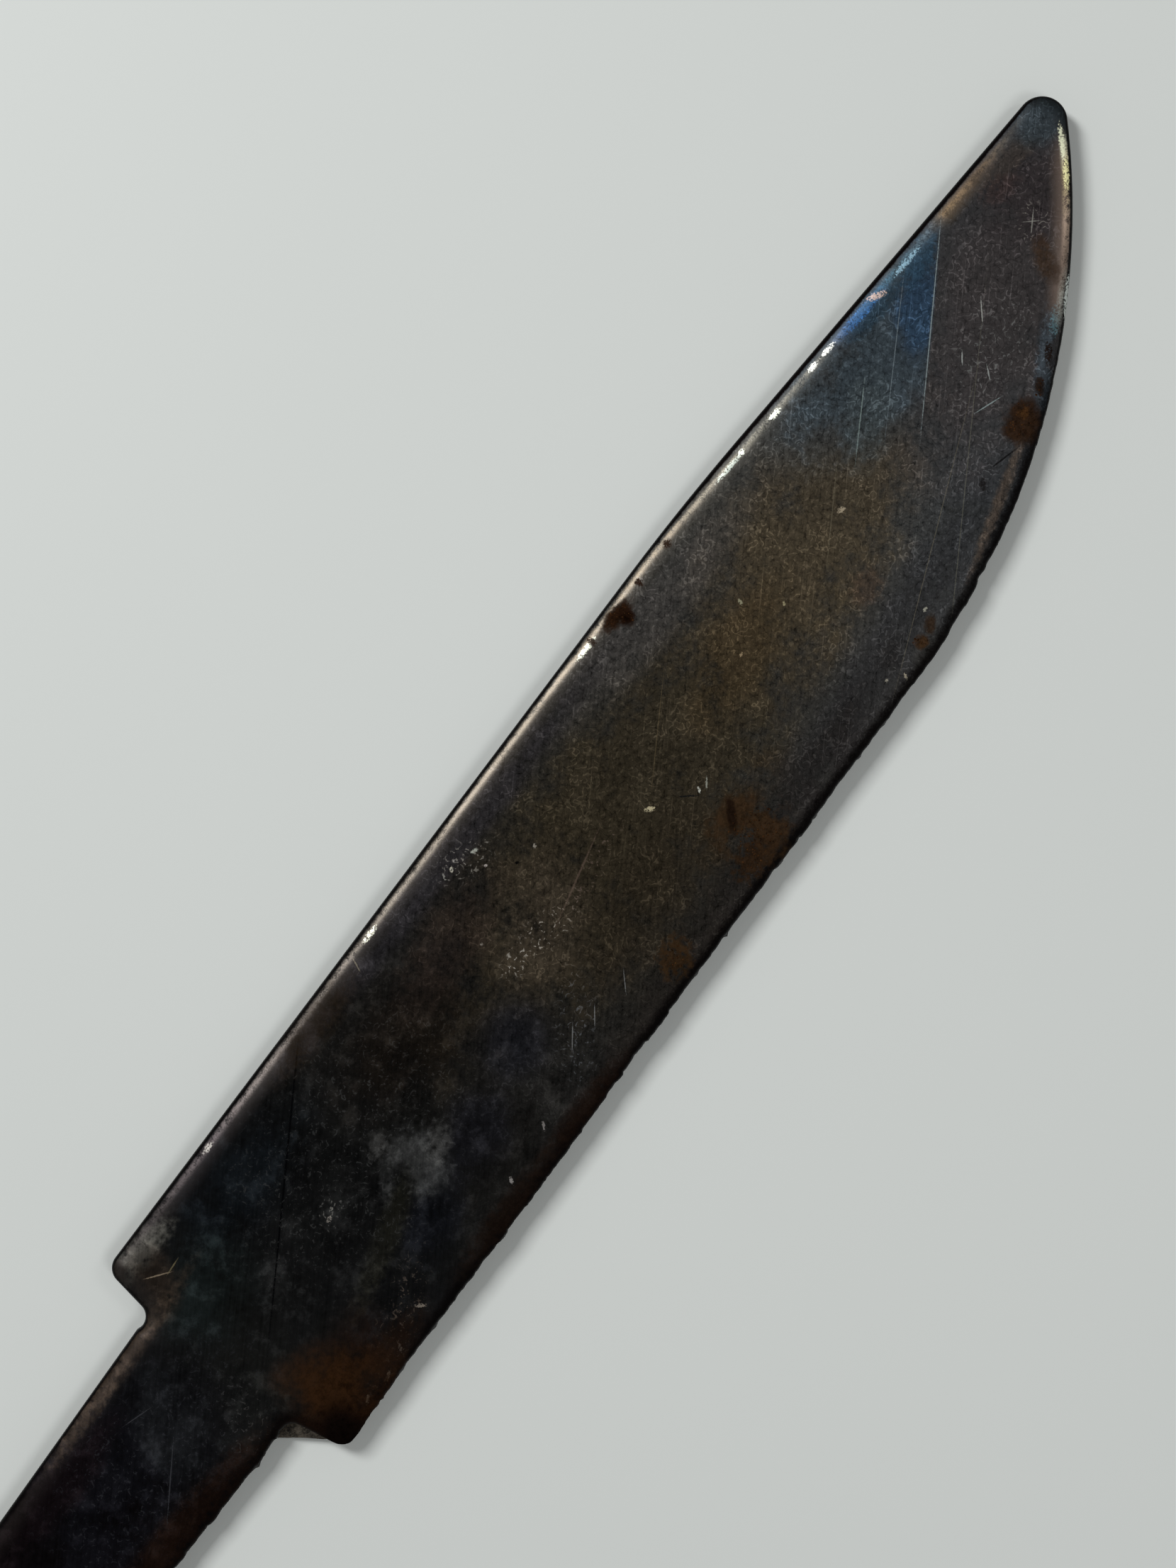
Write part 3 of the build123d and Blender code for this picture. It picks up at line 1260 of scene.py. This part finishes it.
FLECKS = (
    Mark(44.5, 9.6, 0.42, 0.26, 40.0, (150, 146, 134)),
    Mark(45.2, 9.9, 0.30, 0.20, 10.0, (128, 124, 120)),
    Mark(46.9, 9.0, 0.55, 0.26, -30.0, (140, 142, 134)),
    Mark(46.5, 7.5, 0.26, 0.22, 0.0, (142, 134, 130)),
    Mark(43.6, 9.7, 0.5, 0.16, 60.0, (110, 108, 104)),
    Mark(41.0, 3.8, 0.30, 0.22, 0.0, (96, 90, 84)),
    Mark(50.3, 5.2, 0.34, 0.24, 30.0, (112, 106, 98)),
    Mark(58.6, -0.7, 0.85, 0.36, -40.0, (152, 142, 116)),
    Mark(14.8, 0.1, 0.55, 0.30, 10.0, (122, 116, 110)),
    Mark(15.6, 0.5, 0.30, 0.20, 30.0, (96, 94, 90)),
    Mark(26.6, -10.2, 0.60, 0.26, 60.0, (112, 108, 106)),
    Mark(31.9, -9.6, 0.70, 0.20, 50.0, (96, 92, 90)),
    Mark(4.6, -11.6, 0.7, 0.26, 30.0, (118, 104, 88)),
    Mark(7.2, -11.8, 0.8, 0.22, 20.0, (110, 96, 82)),
    Mark(9.7, -11.2, 0.6, 0.24, 50.0, (92, 84, 76)),
    Mark(13.6, -10.4, 0.8, 0.26, -50.0, (104, 96, 88)),
    Mark(62.4, -3.0, 0.5, 0.18, 60.0, (150, 150, 142)),
    Mark(63.2, -3.2, 0.9, 0.14, 35.0, (112, 112, 104)),
    Mark(61.4, -2.6, 1.3, 0.16, -50.0, (18, 18, 18)),
    Mark(79.2, 0.7, 0.36, 0.22, 40.0, (120, 112, 88)),
    Mark(73.6, 1.0, 0.34, 0.22, 0.0, (120, 104, 82)),
    Mark(77.1, 3.7, 0.50, 0.26, 60.0, (116, 112, 92)),
    Mark(88.4, 1.6, 0.70, 0.34, -20.0, (136, 124, 106)),
    Mark(86.0, -9.1, 0.42, 0.26, 0.0, (122, 120, 110)),
    Mark(79.2, -10.1, 0.36, 0.24, 20.0, (112, 108, 98)),
    Mark(80.5, -11.2, 0.55, 0.22, 60.0, (142, 134, 118)),
    Mark(53.5, 11.2, 0.42, 0.36, 0.0, (12, 11, 13)),
    Mark(48.3, 5.5, 0.38, 0.22, -30.0, (8, 7, 7)),
    Mark(97.3, -6.7, 0.9, 0.6, 40.0, (22, 20, 20), 0.9),
)

SCUFFS = (
    Mark(44.7, 0.2, 5.6, 2.2, -11.0, (124, 118, 110), 1.0, 1.3, 1.0),
    Mark(41.4, 0.5, 2.4, 1.6, -10.0, (128, 124, 118), 1.0, 1.3, 1.0),
    Mark(51.5, 0.0, 7.0, 1.3, 7.0, (78, 66, 60), 0.8, 1.3, 1.0),
    Mark(45.8, 9.2, 4.6, 2.4, -20.0, (110, 106, 100), 0.8, 1.3, 1.0),
    Mark(15.4, 0.4, 2.6, 1.6, 20.0, (100, 98, 94), 0.9, 1.3, 1.0),
    Mark(40.0, -7.0, 8.0, 3.0, 40.0, (72, 74, 78), 0.6, 1.3, 1.0),
    Mark(9.0, -10.6, 13.0, 2.8, 20.0, (84, 74, 66), 0.6, 1.3, 1.0),
    Mark(-3.0, -4.6, 7.0, 3.4, 60.0, (62, 60, 58), 0.6, 1.3, 1.0),
    Mark(20.0, 2.0, 22.0, 14.0, 0.0, (52, 52, 52), 0.5, 1.4, 1.0),
    Mark(-10.0, 0.0, 20.0, 10.0, 0.0, (46, 46, 50), 0.5, 1.4, 1.0),
    Mark(106.4, -0.6, 9.0, 5.0, 0.0, (96, 100, 98), 0.4, 1.3, 1.0),
    Mark(117.4, 3.3, 2.6, 2.0, 20.0, (120, 116, 108), 0.8, 1.3, 1.0),
)

GLINTS = (
    Mark(108.4, 9.75, 2.6, 0.4, -4.0, (126, 156, 172), 0.7),
    Mark(104.6, 10.05, 1.4, 0.5, -30.0, (176, 152, 140), 0.8),
    Mark(98.5, 10.6, 1.3, 0.35, -4.0, (206, 206, 200), 0.8),
    Mark(96.6, 10.75, 0.9, 0.4, -4.0, (190, 190, 184), 0.8),
    Mark(91.5, 10.9, 1.1, 0.4, -4.0, (196, 198, 186), 0.8),
    Mark(85.6, 11.25, 2.6, 0.35, -4.0, (160, 168, 160), 0.6),
    Mark(87.2, 11.2, 0.6, 0.4, -4.0, (186, 190, 180), 0.8),
    Mark(66.2, 11.7, 2.0, 0.4, 0.0, (176, 178, 164), 0.7),
    Mark(36.0, 11.8, 1.4, 0.4, 0.0, (170, 170, 156), 0.7),
    Mark(13.4, 11.9, 1.0, 0.4, 0.0, (150, 146, 140), 0.7),
    Mark(124.3, 5.3, 2.6, 0.42, 44.0, (214, 214, 186), 0.85),
    Mark(122.5, 3.5, 2.2, 0.45, 40.0, (212, 206, 156), 0.9),
    Mark(114.2, -2.85, 3.0, 0.35, 32.0, (196, 200, 196), 0.8),
)


class SkinGraph(Graph):
    """A material's tree with the blade's own coordinates, in millimetres.

    A mark at least as wide as broad wanders with the large noise, one narrower than fine crumbles
    with the smallest, and one in between follows the grain.
    """

    broad = 2.5
    fine = 0.8

    def __init__(self, material: bpy.types.Material) -> None:
        """Starts the tree with what every layer of the finish reads.

        Args:
            material: The material to build.
        """
        material.use_nodes = True
        super().__init__(material.node_tree)
        self.place = self.scaled(self.node("ShaderNodeTexCoord", {}, {}, "Object"), 1 / MM)
        self.x, self.y, self.z = self.split(self.place)
        self.flat = self.node("ShaderNodeCombineXYZ", {}, {"X": self.x, "Y": self.y})
        self.rim = self.node("ShaderNodeAttribute", {"attribute_name": "rim"}, {}, "Fac")
        self.cloud = self.noise(self.place, 0.28, 3, 0.6) - 0.5
        self.grain = self.noise(self.place, 1.7, 3, 0.6) - 0.5
        self.dust = self.noise(self.place, 6.5, 2, 0.6) - 0.5
        self.wander = self.cloud + self.grain * 0.4
        self.crumble = self.dust * 2.2
        worm = self.noise(self.place, 1.55, 0.6, 0.5, out=1)
        first, second, third = (part - 0.5 for part in self.split(worm, "ShaderNodeSeparateColor"))
        curls = first.maths("ABSOLUTE").between(0.055, 0.01) * third.between(0.0, 0.06)
        others = second.maths("ABSOLUTE").between(0.055, 0.01) * third.between(0.0, -0.06)
        self.curls = curls + others
        self.grooves = third.maths("ABSOLUTE").between(0.04, 0.008)
        self.chips = self.curls * (self.grain + self.dust * 0.6).between(0.0, 0.1)

    def along(self, turn: float, length: float, width: float) -> Wire:
        """Coordinates that are stretched in one direction of the face.

        Args:
            turn: The direction, in degrees from +X.
            length: Millimetres for each unit in that direction.
            width: Millimetres for each unit across it.

        Returns:
            The coordinates.
        """
        inputs = {
            "Vector": self.flat,
            "Rotation": (0.0, 0.0, math.radians(turn)),
            "Scale": (length, width, 1.0),
        }
        return self.node("ShaderNodeMapping", {"vector_type": "TEXTURE"}, inputs)

    def weight(self, mark: Mark) -> Wire:
        """How much of a mark lies at each place.

        The texture's own mapping places the oval, because a Mapping node for each of so many marks
        overfills the renderer's stack.

        Args:
            mark: The mark.

        Returns:
            A number from 0 to the mark's strength.
        """
        settings = {
            "gradient_type": "SPHERICAL",
            "texture_mapping.vector_type": "TEXTURE",
            "texture_mapping.translation": (mark.x, mark.y, 0.0),
            "texture_mapping.rotation": (0.0, 0.0, math.radians(mark.turn)),
            "texture_mapping.scale": (mark.length, mark.width, 1.0),
        }
        inner = self.node("ShaderNodeTexGradient", settings, {"Vector": self.flat}, "Fac")
        wander = self.crumble if mark.width < self.fine else self.grain
        wander = self.wander if mark.width >= self.broad else wander
        inputs = {
            "Value": inner * wander.maths("MULTIPLY_ADD", mark.ragged * 2, 1.0),
            "From Min": 0.5 - mark.soft / 4,
            "From Max": 0.5 + mark.soft / 4,
            "To Max": mark.strength,
        }
        return self.node("ShaderNodeMapRange", {"interpolation_type": "SMOOTHSTEP"}, inputs)

    def lay(self, colour: Wire, marks: Iterable[Mark], mask: Operand = 1.0) -> Wire:
        """Lays marks over a colour, one after another.

        Args:
            colour: The colour below.
            marks: The marks, from the lowest to the topmost.
            mask: How much of them shows.

        Returns:
            The new colour.
        """
        for mark in marks:
            weight = self.weight(mark)
            weight = weight * mask if isinstance(mask, Wire) else weight
            colour = self.blend(weight, colour, srgb(*mark.tone))
        return colour

    def left_of(self, start: Point, end: Point, soft: float) -> Wire:
        """1 on the left of a line on the face and 0 on its right.

        Args:
            start: A point of the line.
            end: A later point of the line.
            soft: Half the width of the step in between.

        Returns:
            The mask.
        """
        long = math.hypot(end[0] - start[0], end[1] - start[1])
        across = ((start[1] - end[1]) / long, (end[0] - start[0]) / long, 0.0)
        offset = start[0] * across[0] + start[1] * across[1]
        distance = self.vector("DOT_PRODUCT", self.flat, across, out=1)
        return distance.between(offset - soft, offset + soft)

    def shaded(self, colour: Wire, shade: Wire) -> Wire:
        """A colour that is made lighter and darker by a number around 1."""
        grey = self.node("ShaderNodeCombineColor", {}, {0: shade, 1: shade, 2: shade})
        return self.blend(1.0, colour, grey, "MULTIPLY")

    def ramp(self, share: Wire, stops: Sequence[tuple[float, Tone]], start: float, end: float) -> Wire:
        """Colour ramp over a stretch of values.

        Args:
            share: The value.
            stops: Value and display tone of each stop, in order.
            start: Value at the ramp's beginning.
            end: Value at its end.

        Returns:
            The colour.
        """
        placed = [((value - start) / (end - start), srgb(*tone)) for value, tone in stops]
        return self.node("ShaderNodeValToRGB", {"stops": placed}, {0: (share - start) / (end - start)})


@dataclass(frozen=True)
class TemperedSteel:
    """Steel darkened by heat: oxide over the whole skin, temper colours, scratches, light rust, and
    painted highlights and shade on the rolled rim.

    A span says where along the blade a layer comes in or fades out, in millimetres.
    """

    metallic: float = 0.85
    roughness: float = 0.42
    # Roughness where the painted highlight lies on the rolled rim.
    highlight_roughness: float = 0.3
    rusted: float = 0.85
    bump_strength: float = 0.5
    bump_depth: float = 2e-5
    grind_turn: float = 31.4
    worked: Span = (14.0, 58.0)
    marked: Span = (5.0, 50.0)
    smeared: Span = (52.0, 26.0)
    lined: Span = (30.0, 60.0)
    calmer: Span = (45.0, 58.0)
    calmest: Span = (97.0, 105.0)
    widened: Span = (74.0, 86.0)
    tip_span: Span = (111.0, 114.0)
    tip_end: Span = (125.9, 124.4)
    nose_span: Span = (123.6, 126.2)
    # Where the cutting edge's rolled rim gets painted shade.
    edge_shade_span: Span = (112.0, 104.0)
    torn: Tone = (52, 45, 40)
    # Painted highlight: the pale halo round the tip's cutting edge.
    tip_halo: Tone = (108, 92, 82)
    # Painted shade on the nose's rolled rim.
    nose: Tone = (24, 27, 28)
    # Painted shade: the dark line where the rolled rim turns down to the wall.
    black: Tone = (8, 6, 6)
    tones: tuple[tuple[float, Tone], ...] = (
        (-90.0, (15, 12, 14)),
        (-17.0, (14, 11, 12)),
        (-8.0, (19, 19, 21)),
        (1.0, (23, 23, 22)),
        (10.0, (17, 17, 18)),
        (19.0, (16, 16, 16)),
        (28.0, (21, 20, 19)),
        (37.0, (27, 26, 25)),
        (46.0, (34, 32, 29)),
        (55.0, (40, 38, 35)),
        (64.0, (44, 43, 41)),
        (73.0, (49, 48, 46)),
        (82.0, (54, 53, 51)),
        (99.0, (55, 57, 59)),
        (112.0, (52, 51, 52)),
        (127.0, (52, 53, 56)),
    )
    # Colours of the painted highlight and its halo along the spine's rolled rim, by x.
    spine_highlight_tones: tuple[tuple[float, Tone], ...] = (
        (-30.0, (40, 34, 32)),
        (0.0, (60, 55, 54)),
        (14.0, (76, 70, 71)),
        (20.0, (88, 82, 79)),
        (36.0, (76, 71, 65)),
        (60.0, (78, 72, 64)),
        (78.0, (84, 77, 67)),
        (88.0, (92, 89, 81)),
        (98.0, (88, 87, 82)),
        (101.5, (56, 82, 116)),
        (107.0, (62, 86, 98)),
        (112.0, (78, 86, 92)),
        (113.5, (112, 94, 72)),
        (118.0, (98, 82, 66)),
        (122.0, (72, 68, 62)),
        (127.0, (54, 60, 68)),
    )
    # Colours of the painted highlight along the tip's cutting edge, by y.
    tip_highlight_tones: tuple[tuple[float, Tone], ...] = (
        (-5.0, (90, 90, 86)),
        (-2.6, (136, 136, 130)),
        (-1.0, (116, 100, 90)),
        (1.2, (150, 131, 116)),
        (3.6, (164, 150, 112)),
        (5.3, (206, 202, 180)),
        (6.4, (90, 96, 100)),
    )

    def material(self) -> bpy.types.Material:
        """Lays the finish, layer upon layer.

        Returns:
            The material.
        """
        material = bpy.data.materials.new("tempered_steel")
        skin = SkinGraph(material)
        oxide = self._oxide(skin)
        shade = self._mottle(skin)
        colour = skin.lay(oxide, TEMPER_MARKS)
        colour = skin.lay(colour, BLUE_MARKS, skin.left_of(*TEMPER_LINE, 0.25))
        colour = skin.shaded(colour, shade)
        colour = skin.lay(colour, (scratch.mark() for scratch in SCRATCHES))
        colour = skin.lay(colour, FLECKS)
        colour = skin.lay(colour, SCUFFS, skin.chips)
        # Painted highlight along the spine and the tip, painted shade along the outline, the nose and
        # the cutting edge.
        colour, shine = self._rims(skin, colour)
        colour = skin.lay(colour, GLINTS)
        colour, rust = self._rust(skin, colour)
        upper = skin.z.between(1.0, 1.9)
        colour = skin.blend(upper, self._wall(skin, oxide, shade), colour)
        shine, rust = shine * upper, rust * upper
        rough = self.roughness + skin.grain * 0.18 + skin.dust * 0.12
        rough = rough - shine * (self.roughness - self.highlight_roughness)
        rough = rough + rust * (self.rusted - self.roughness)
        metallic = self.metallic - rust * self.metallic
        height = skin.grain * 0.6 + skin.dust * 0.5
        inputs = {"Strength": self.bump_strength, "Distance": self.bump_depth, "Height": height}
        bump = skin.node("ShaderNodeBump", {}, inputs)
        bsdf = skin.node(
            "ShaderNodeBsdfPrincipled",
            {},
            {
                "Base Color": colour,
                "Metallic": metallic,
                "Roughness": rough,
                "Specular IOR Level": 0.0,
                "Normal": bump,
            },
        )
        skin.node("ShaderNodeOutputMaterial", {}, {"Surface": bsdf})
        return material

    def _oxide(self, skin: SkinGraph) -> Wire:
        """The face's base colour, darker at the tang and lighter towards the tip."""
        return skin.ramp(skin.x + skin.cloud * 16, self.tones, -90.0, 127.0)

    def _wall(self, skin: SkinGraph, oxide: Wire, shade: Wire) -> Wire:
        """The cut wall, smooth above and torn below, and the underside.

        Args:
            skin: The material's tree.
            oxide: The oxide's colour.
            shade: The speckles' shade.

        Returns:
            The colour.
        """
        drop = skin.node("ShaderNodeAttribute", {"attribute_name": "drop"}, {}, "Fac")
        torn = drop.between(0.33, 0.4) * drop.between(1.0, 0.98)
        torn = skin.blend(torn * 0.6, oxide, srgb(*self.torn))
        return skin.shaded(torn, shade)

    def _mottle(self, skin: SkinGraph) -> Wire:
        """Speckles, the grinding belt's hairlines and curled scale marks.

        Args:
            skin: The material's tree.

        Returns:
            How much lighter or darker they make the face, around 1.
        """
        worked = skin.x.between(*self.worked)
        calm = 1 - skin.x.between(*self.calmer) * 0.18 - skin.x.between(*self.calmest) * 0.3
        depth = skin.cloud * (1.5 - worked * 0.8) + skin.grain * (0.7 + worked * 0.9)
        belt = skin.noise(skin.along(self.grind_turn, 14.0, 0.22), 1.0, 3, 0.6) - 0.5
        depth = (depth + skin.dust * worked * 1.1 + belt * 0.9) * calm
        lines = skin.noise(skin.along(self.grind_turn, 9.0, 0.13), 1.0, 1, 0.5).between(0.62, 0.76)
        lines = lines * skin.cloud.between(-0.14, 0.1) * skin.x.between(*self.lined)
        curls = skin.curls * skin.cloud.between(-0.04, 0.12) * 0.9
        curls = curls + skin.chips * 0.5 - skin.grooves * 0.25
        marked = skin.x.between(*self.marked)
        smears = skin.noise(skin.place, 0.55, 5, 0.7).between(0.5, 0.7) * skin.x.between(*self.smeared)
        return 0.86 + depth + lines * 0.9 + curls * marked + smears * 1.3

    def _rims(self, skin: SkinGraph, colour: Wire) -> tuple[Wire, Wire]:
        """The rolled rim's painted light: a highlight on the spine and the tip, shade on the outline,
        the nose and the cutting edge.

        Args:
            skin: The material's tree.
            colour: The colour that the rim lies over.

        Returns:
            The new colour, and how much painted highlight each place has, where the face is also made
            smoother.
        """
        middle = (skin.x - 78.0).most(0.0) * 0.165
        side = skin.y - middle
        spine, edge = side.between(1.0, 3.0), side.between(-1.0, -3.0)
        depth = skin.rim + skin.grain * 0.14 + skin.dust * 0.06
        nose = skin.x.between(*self.nose_span)
        deep = depth - skin.x.between(*self.widened) * 0.3 * spine
        # Painted highlight along the spine: a halo and a speckled bright band on the rolled rim.
        band = deep.between(0.26, 0.48) * deep.between(1.12, 0.58)
        halo = depth.between(0.3, 0.6) * depth.between(2.3, 0.8)
        tone = skin.ramp(skin.x, self.spine_highlight_tones, -30.0, 127.0)
        colour = skin.blend(halo * spine * (skin.x.between(111.5, 114.0) * 0.22 + 0.2), colour, tone)
        speckled = (skin.cloud * 1.1 + skin.grain * 1.7 + skin.dust * 1.6).between(-0.5, 0.3)
        shine = band * spine * skin.x.between(-6.0, 16.0)
        colour = skin.blend(shine * speckled, colour, tone)

        # Painted highlight along the tip's cutting edge: a pale halo and a bright speckled core.
        tip = edge * skin.x.between(*self.tip_span) * skin.x.between(*self.tip_end)
        tip_highlight_colour = skin.ramp(skin.y, self.tip_highlight_tones, -5.0, 7.0)
        colour = skin.blend(tip * halo * 0.5, colour, srgb(*self.tip_halo))
        core = depth.between(0.22, 0.4) * depth.between(1.1, 0.6)
        colour = skin.blend(tip * core * speckled, colour, tip_highlight_colour)

        # Painted shade along the cutting edge's rolled rim, ragged on its inner side.
        ragged = depth + skin.grain * 0.5 + skin.dust * 0.3
        edge_shade = edge * skin.x.between(*self.edge_shade_span) * ragged.between(1.5, 0.3)
        # Painted shade on the nose's rolled rim, darkest at the outline.
        colour = skin.blend(nose * depth.between(1.5, 0.3) * 0.75, colour, srgb(*self.nose))
        # Painted shade: a dark line round the whole outline where the roll turns down, joined with the
        # cutting edge's painted shade.
        black = ((depth + deep) / 2).between(0.31, 0.17)
        colour = skin.blend(black.most(edge_shade * 0.92), colour, srgb(*self.black))
        return colour, shine.most(tip * core)

    def _rust(self, skin: SkinGraph, colour: Wire) -> tuple[Wire, Wire]:
        """Patches of rust over a colour.

        Args:
            skin: The material's tree.
            colour: The colour that the rust lies over.

        Returns:
            The new colour, and how rusted each place is.
        """
        spots = (skin.cloud * 0.8 + skin.grain * 1.6 + skin.dust * 1.0).between(-0.5, 0.4)
        total = None
        for mark in RUST_MARKS:
            weight = skin.weight(mark)
            colour = skin.blend(weight, colour, srgb(*mark.tone))
            total = weight if total is None else total.most(weight)
        return skin.shaded(colour, 1 - total * (1 - spots) * 0.8), total


@dataclass(frozen=True)
class TornSteel:
    """Bare, dull steel where the sheet tore off."""

    dark: Tone = (24, 21, 19)
    light: Tone = (84, 77, 68)
    metallic: float = 0.6
    roughness: float = 0.6

    def material(self) -> bpy.types.Material:
        """Mixes the finish's two tones.

        Returns:
            The material.
        """
        material = bpy.data.materials.new("torn_steel")
        skin = SkinGraph(material)
        worn = (skin.grain * 1.6 + skin.dust * 1.2).between(-0.45, 0.45)
        inputs = {
            "Base Color": skin.blend(worn, srgb(*self.dark), srgb(*self.light)),
            "Metallic": self.metallic,
            "Roughness": self.roughness + skin.grain * 0.2,
            "Specular IOR Level": 0.1,
        }
        bsdf = skin.node("ShaderNodeBsdfPrincipled", {}, inputs)
        skin.node("ShaderNodeOutputMaterial", {}, {"Surface": bsdf})
        return material


@dataclass(frozen=True)
class Rust:
    """Crumbly rust, from nearly black to orange."""

    dark: Tone = (22, 13, 9)
    light: Tone = (72, 47, 26)
    roughness: float = 0.9

    def material(self) -> bpy.types.Material:
        """Mixes the finish's two tones.

        Returns:
            The material.
        """
        material = bpy.data.materials.new("rust")
        skin = SkinGraph(material)
        fresh = (skin.grain * 1.6 + skin.dust * 1.4).between(-0.4, 0.5)
        inputs = {
            "Base Color": skin.blend(fresh, srgb(*self.dark), srgb(*self.light)),
            "Roughness": self.roughness,
            "Specular IOR Level": 0.0,
        }
        bsdf = skin.node("ShaderNodeBsdfPrincipled", {}, inputs)
        skin.node("ShaderNodeOutputMaterial", {}, {"Surface": bsdf})
        return material


@dataclass
class Bench:
    """The pale surface that the blade lies on."""

    size: float = 3.0
    colour: Tone = (213, 217, 214)
    roughness: float = 0.5
    gloss: float = 0.2

    def build(self) -> bpy.types.Object:
        """Makes the bench top.

        Returns:
            The bench top.
        """
        half = self.size / 2
        corners = [(-half, -half, 0), (half, -half, 0), (half, half, 0), (-half, half, 0)]
        mesh = bpy.data.meshes.new("bench")
        mesh.from_pydata(corners, [], [(0, 1, 2, 3)])
        material = bpy.data.materials.new("bench_paint")
        material.use_nodes = True
        graph = Graph(material.node_tree)
        inputs = {
            "Base Color": srgb(*self.colour),
            "Roughness": self.roughness,
            "Specular IOR Level": self.gloss,
        }
        bsdf = graph.node("ShaderNodeBsdfPrincipled", {}, inputs)
        graph.node("ShaderNodeOutputMaterial", {}, {"Surface": bsdf})
        mesh.materials.append(material)
        piece = bpy.data.objects.new("bench", mesh)
        bpy.context.collection.objects.link(piece)
        return piece


@dataclass
class PhotoView:
    """The camera above the blade, with the blade's tip towards the top right of the picture."""

    middle: Point = (57.15, 4.74)
    tip_rise: float = 53.03
    frame_height: float = 132.0
    distance: float = 260.0
    lens: float = 50.0

    @property
    def right(self) -> Vector:
        """The picture's rightward direction on the bench."""
        turn = math.radians(self.tip_rise)
        return Vector((math.cos(turn), -math.sin(turn), 0.0))

    @property
    def up(self) -> Vector:
        """The picture's upward direction on the bench."""
        turn = math.radians(self.tip_rise)
        return Vector((math.sin(turn), math.cos(turn), 0.0))

    def spot(self, right: float, up: float, height: float) -> Vector:
        """A place given from the picture's middle, in metres."""
        middle = Vector((self.middle[0] * MM, self.middle[1] * MM, 0.0))
        return middle + self.right * right + self.up * up + Vector((0.0, 0.0, height))

    def build(self, thickness: float) -> bpy.types.Object:
        """Makes the camera.

        Args:
            thickness: Height of the blade's face above the bench, where the frame is measured.

        Returns:
            The camera.
        """
        data = bpy.data.cameras.new("camera")
        data.sensor_fit = "VERTICAL"
        data.sensor_height = self.lens * self.frame_height / self.distance
        data.lens = self.lens
        camera = bpy.data.objects.new("camera", data)
        bpy.context.collection.objects.link(camera)
        place = self.spot(0.0, 0.0, (self.distance + thickness) * MM)
        axes = Matrix((self.right, self.up, Vector((0.0, 0.0, 1.0)))).transposed()
        camera.matrix_world = Matrix.Translation(place) @ axes.to_4x4()
        bpy.context.scene.camera = camera
        return camera


@dataclass(frozen=True)
class Panel:
    """One rectangular light, placed from the picture's middle in metres and aimed at it."""

    name: str
    right: float
    up: float
    height: float
    width: float
    depth: float
    radiance: float


@dataclass
class Studio:
    """Soft light over the bench: a panel beyond the spine, two weak ones opposite and the room."""

    view: PhotoView
    room: float = 0.18
    backdrop: Tone = (200, 204, 202)
    panels: tuple[Panel, ...] = (
        Panel("window", -0.31, 0.255, 0.50, 0.12, 0.23, 30.5),
        Panel("far_lamp", 0.17, -0.13, 0.50, 0.12, 0.17, 7.2),
        Panel("tip_strip", 0.34, 0.10, 0.50, 0.04, 0.16, 11.0),
    )

    def _light(self, panel: Panel) -> None:
        """Adds one panel.

        Args:
            panel: The panel.
        """
        data = bpy.data.lights.new(panel.name, "AREA")
        data.shape = "RECTANGLE"
        data.size, data.size_y = panel.width, panel.depth
        data.energy = panel.radiance * math.pi * panel.width * panel.depth
        light = bpy.data.objects.new(panel.name, data)
        bpy.context.collection.objects.link(light)
        place = self.view.spot(panel.right, panel.up, panel.height)
        back = (place - self.view.spot(0.0, 0.0, 0.0)).normalized()
        side = Vector((0.0, 0.0, 1.0)).cross(back).normalized()
        axes = Matrix((side, back.cross(side), back)).transposed()
        light.matrix_world = Matrix.Translation(place) @ axes.to_4x4()

    def build(self) -> None:
        """Makes the lights and the room."""
        for panel in self.panels:
            self._light(panel)
        world = bpy.data.worlds.new("room")
        world.use_nodes = True
        graph = Graph(world.node_tree)
        path = graph.node("ShaderNodeLightPath").socket.node
        seen = Wire(graph, path.outputs["Is Camera Ray"])
        for name in ("Is Glossy Ray", "Is Transmission Ray"):
            seen = seen.most(Wire(graph, path.outputs[name]))
        inputs = {"Color": srgb(255, 255, 255), "Strength": self.room}
        room = graph.node("ShaderNodeBackground", {}, inputs)
        inputs = {"Color": srgb(*self.backdrop), "Strength": 1.0}
        shown = graph.node("ShaderNodeBackground", {}, inputs)
        mixed = graph.node("ShaderNodeMixShader", {}, {0: seen, 1: room, 2: shown})
        graph.node("ShaderNodeOutputWorld", {}, {"Surface": mixed})
        bpy.context.scene.world = world


def main() -> None:
    """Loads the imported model, then builds and dresses each piece in turn."""
    logging.basicConfig(level=logging.INFO, format="%(message)s")
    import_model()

    blank = BladeBlank()
    view = PhotoView()
    view.build(blank.thickness)
    Studio(view).build()
    Bench().build()

    blade = blank.build(TemperedSteel())
    ledge = NotchLedge().build(blank, TornSteel())
    crust = RustCrust().build(blade, CRUST_MARKS, Rust())
    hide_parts(NODE)
    for piece in (blade, ledge, crust):
        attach(piece, BODY)
        LOG.info("%s: %d faces", piece.name, len(piece.data.polygons))

    bpy.context.scene.view_settings.view_transform = "Standard"


if __name__ == "__main__":
    main()
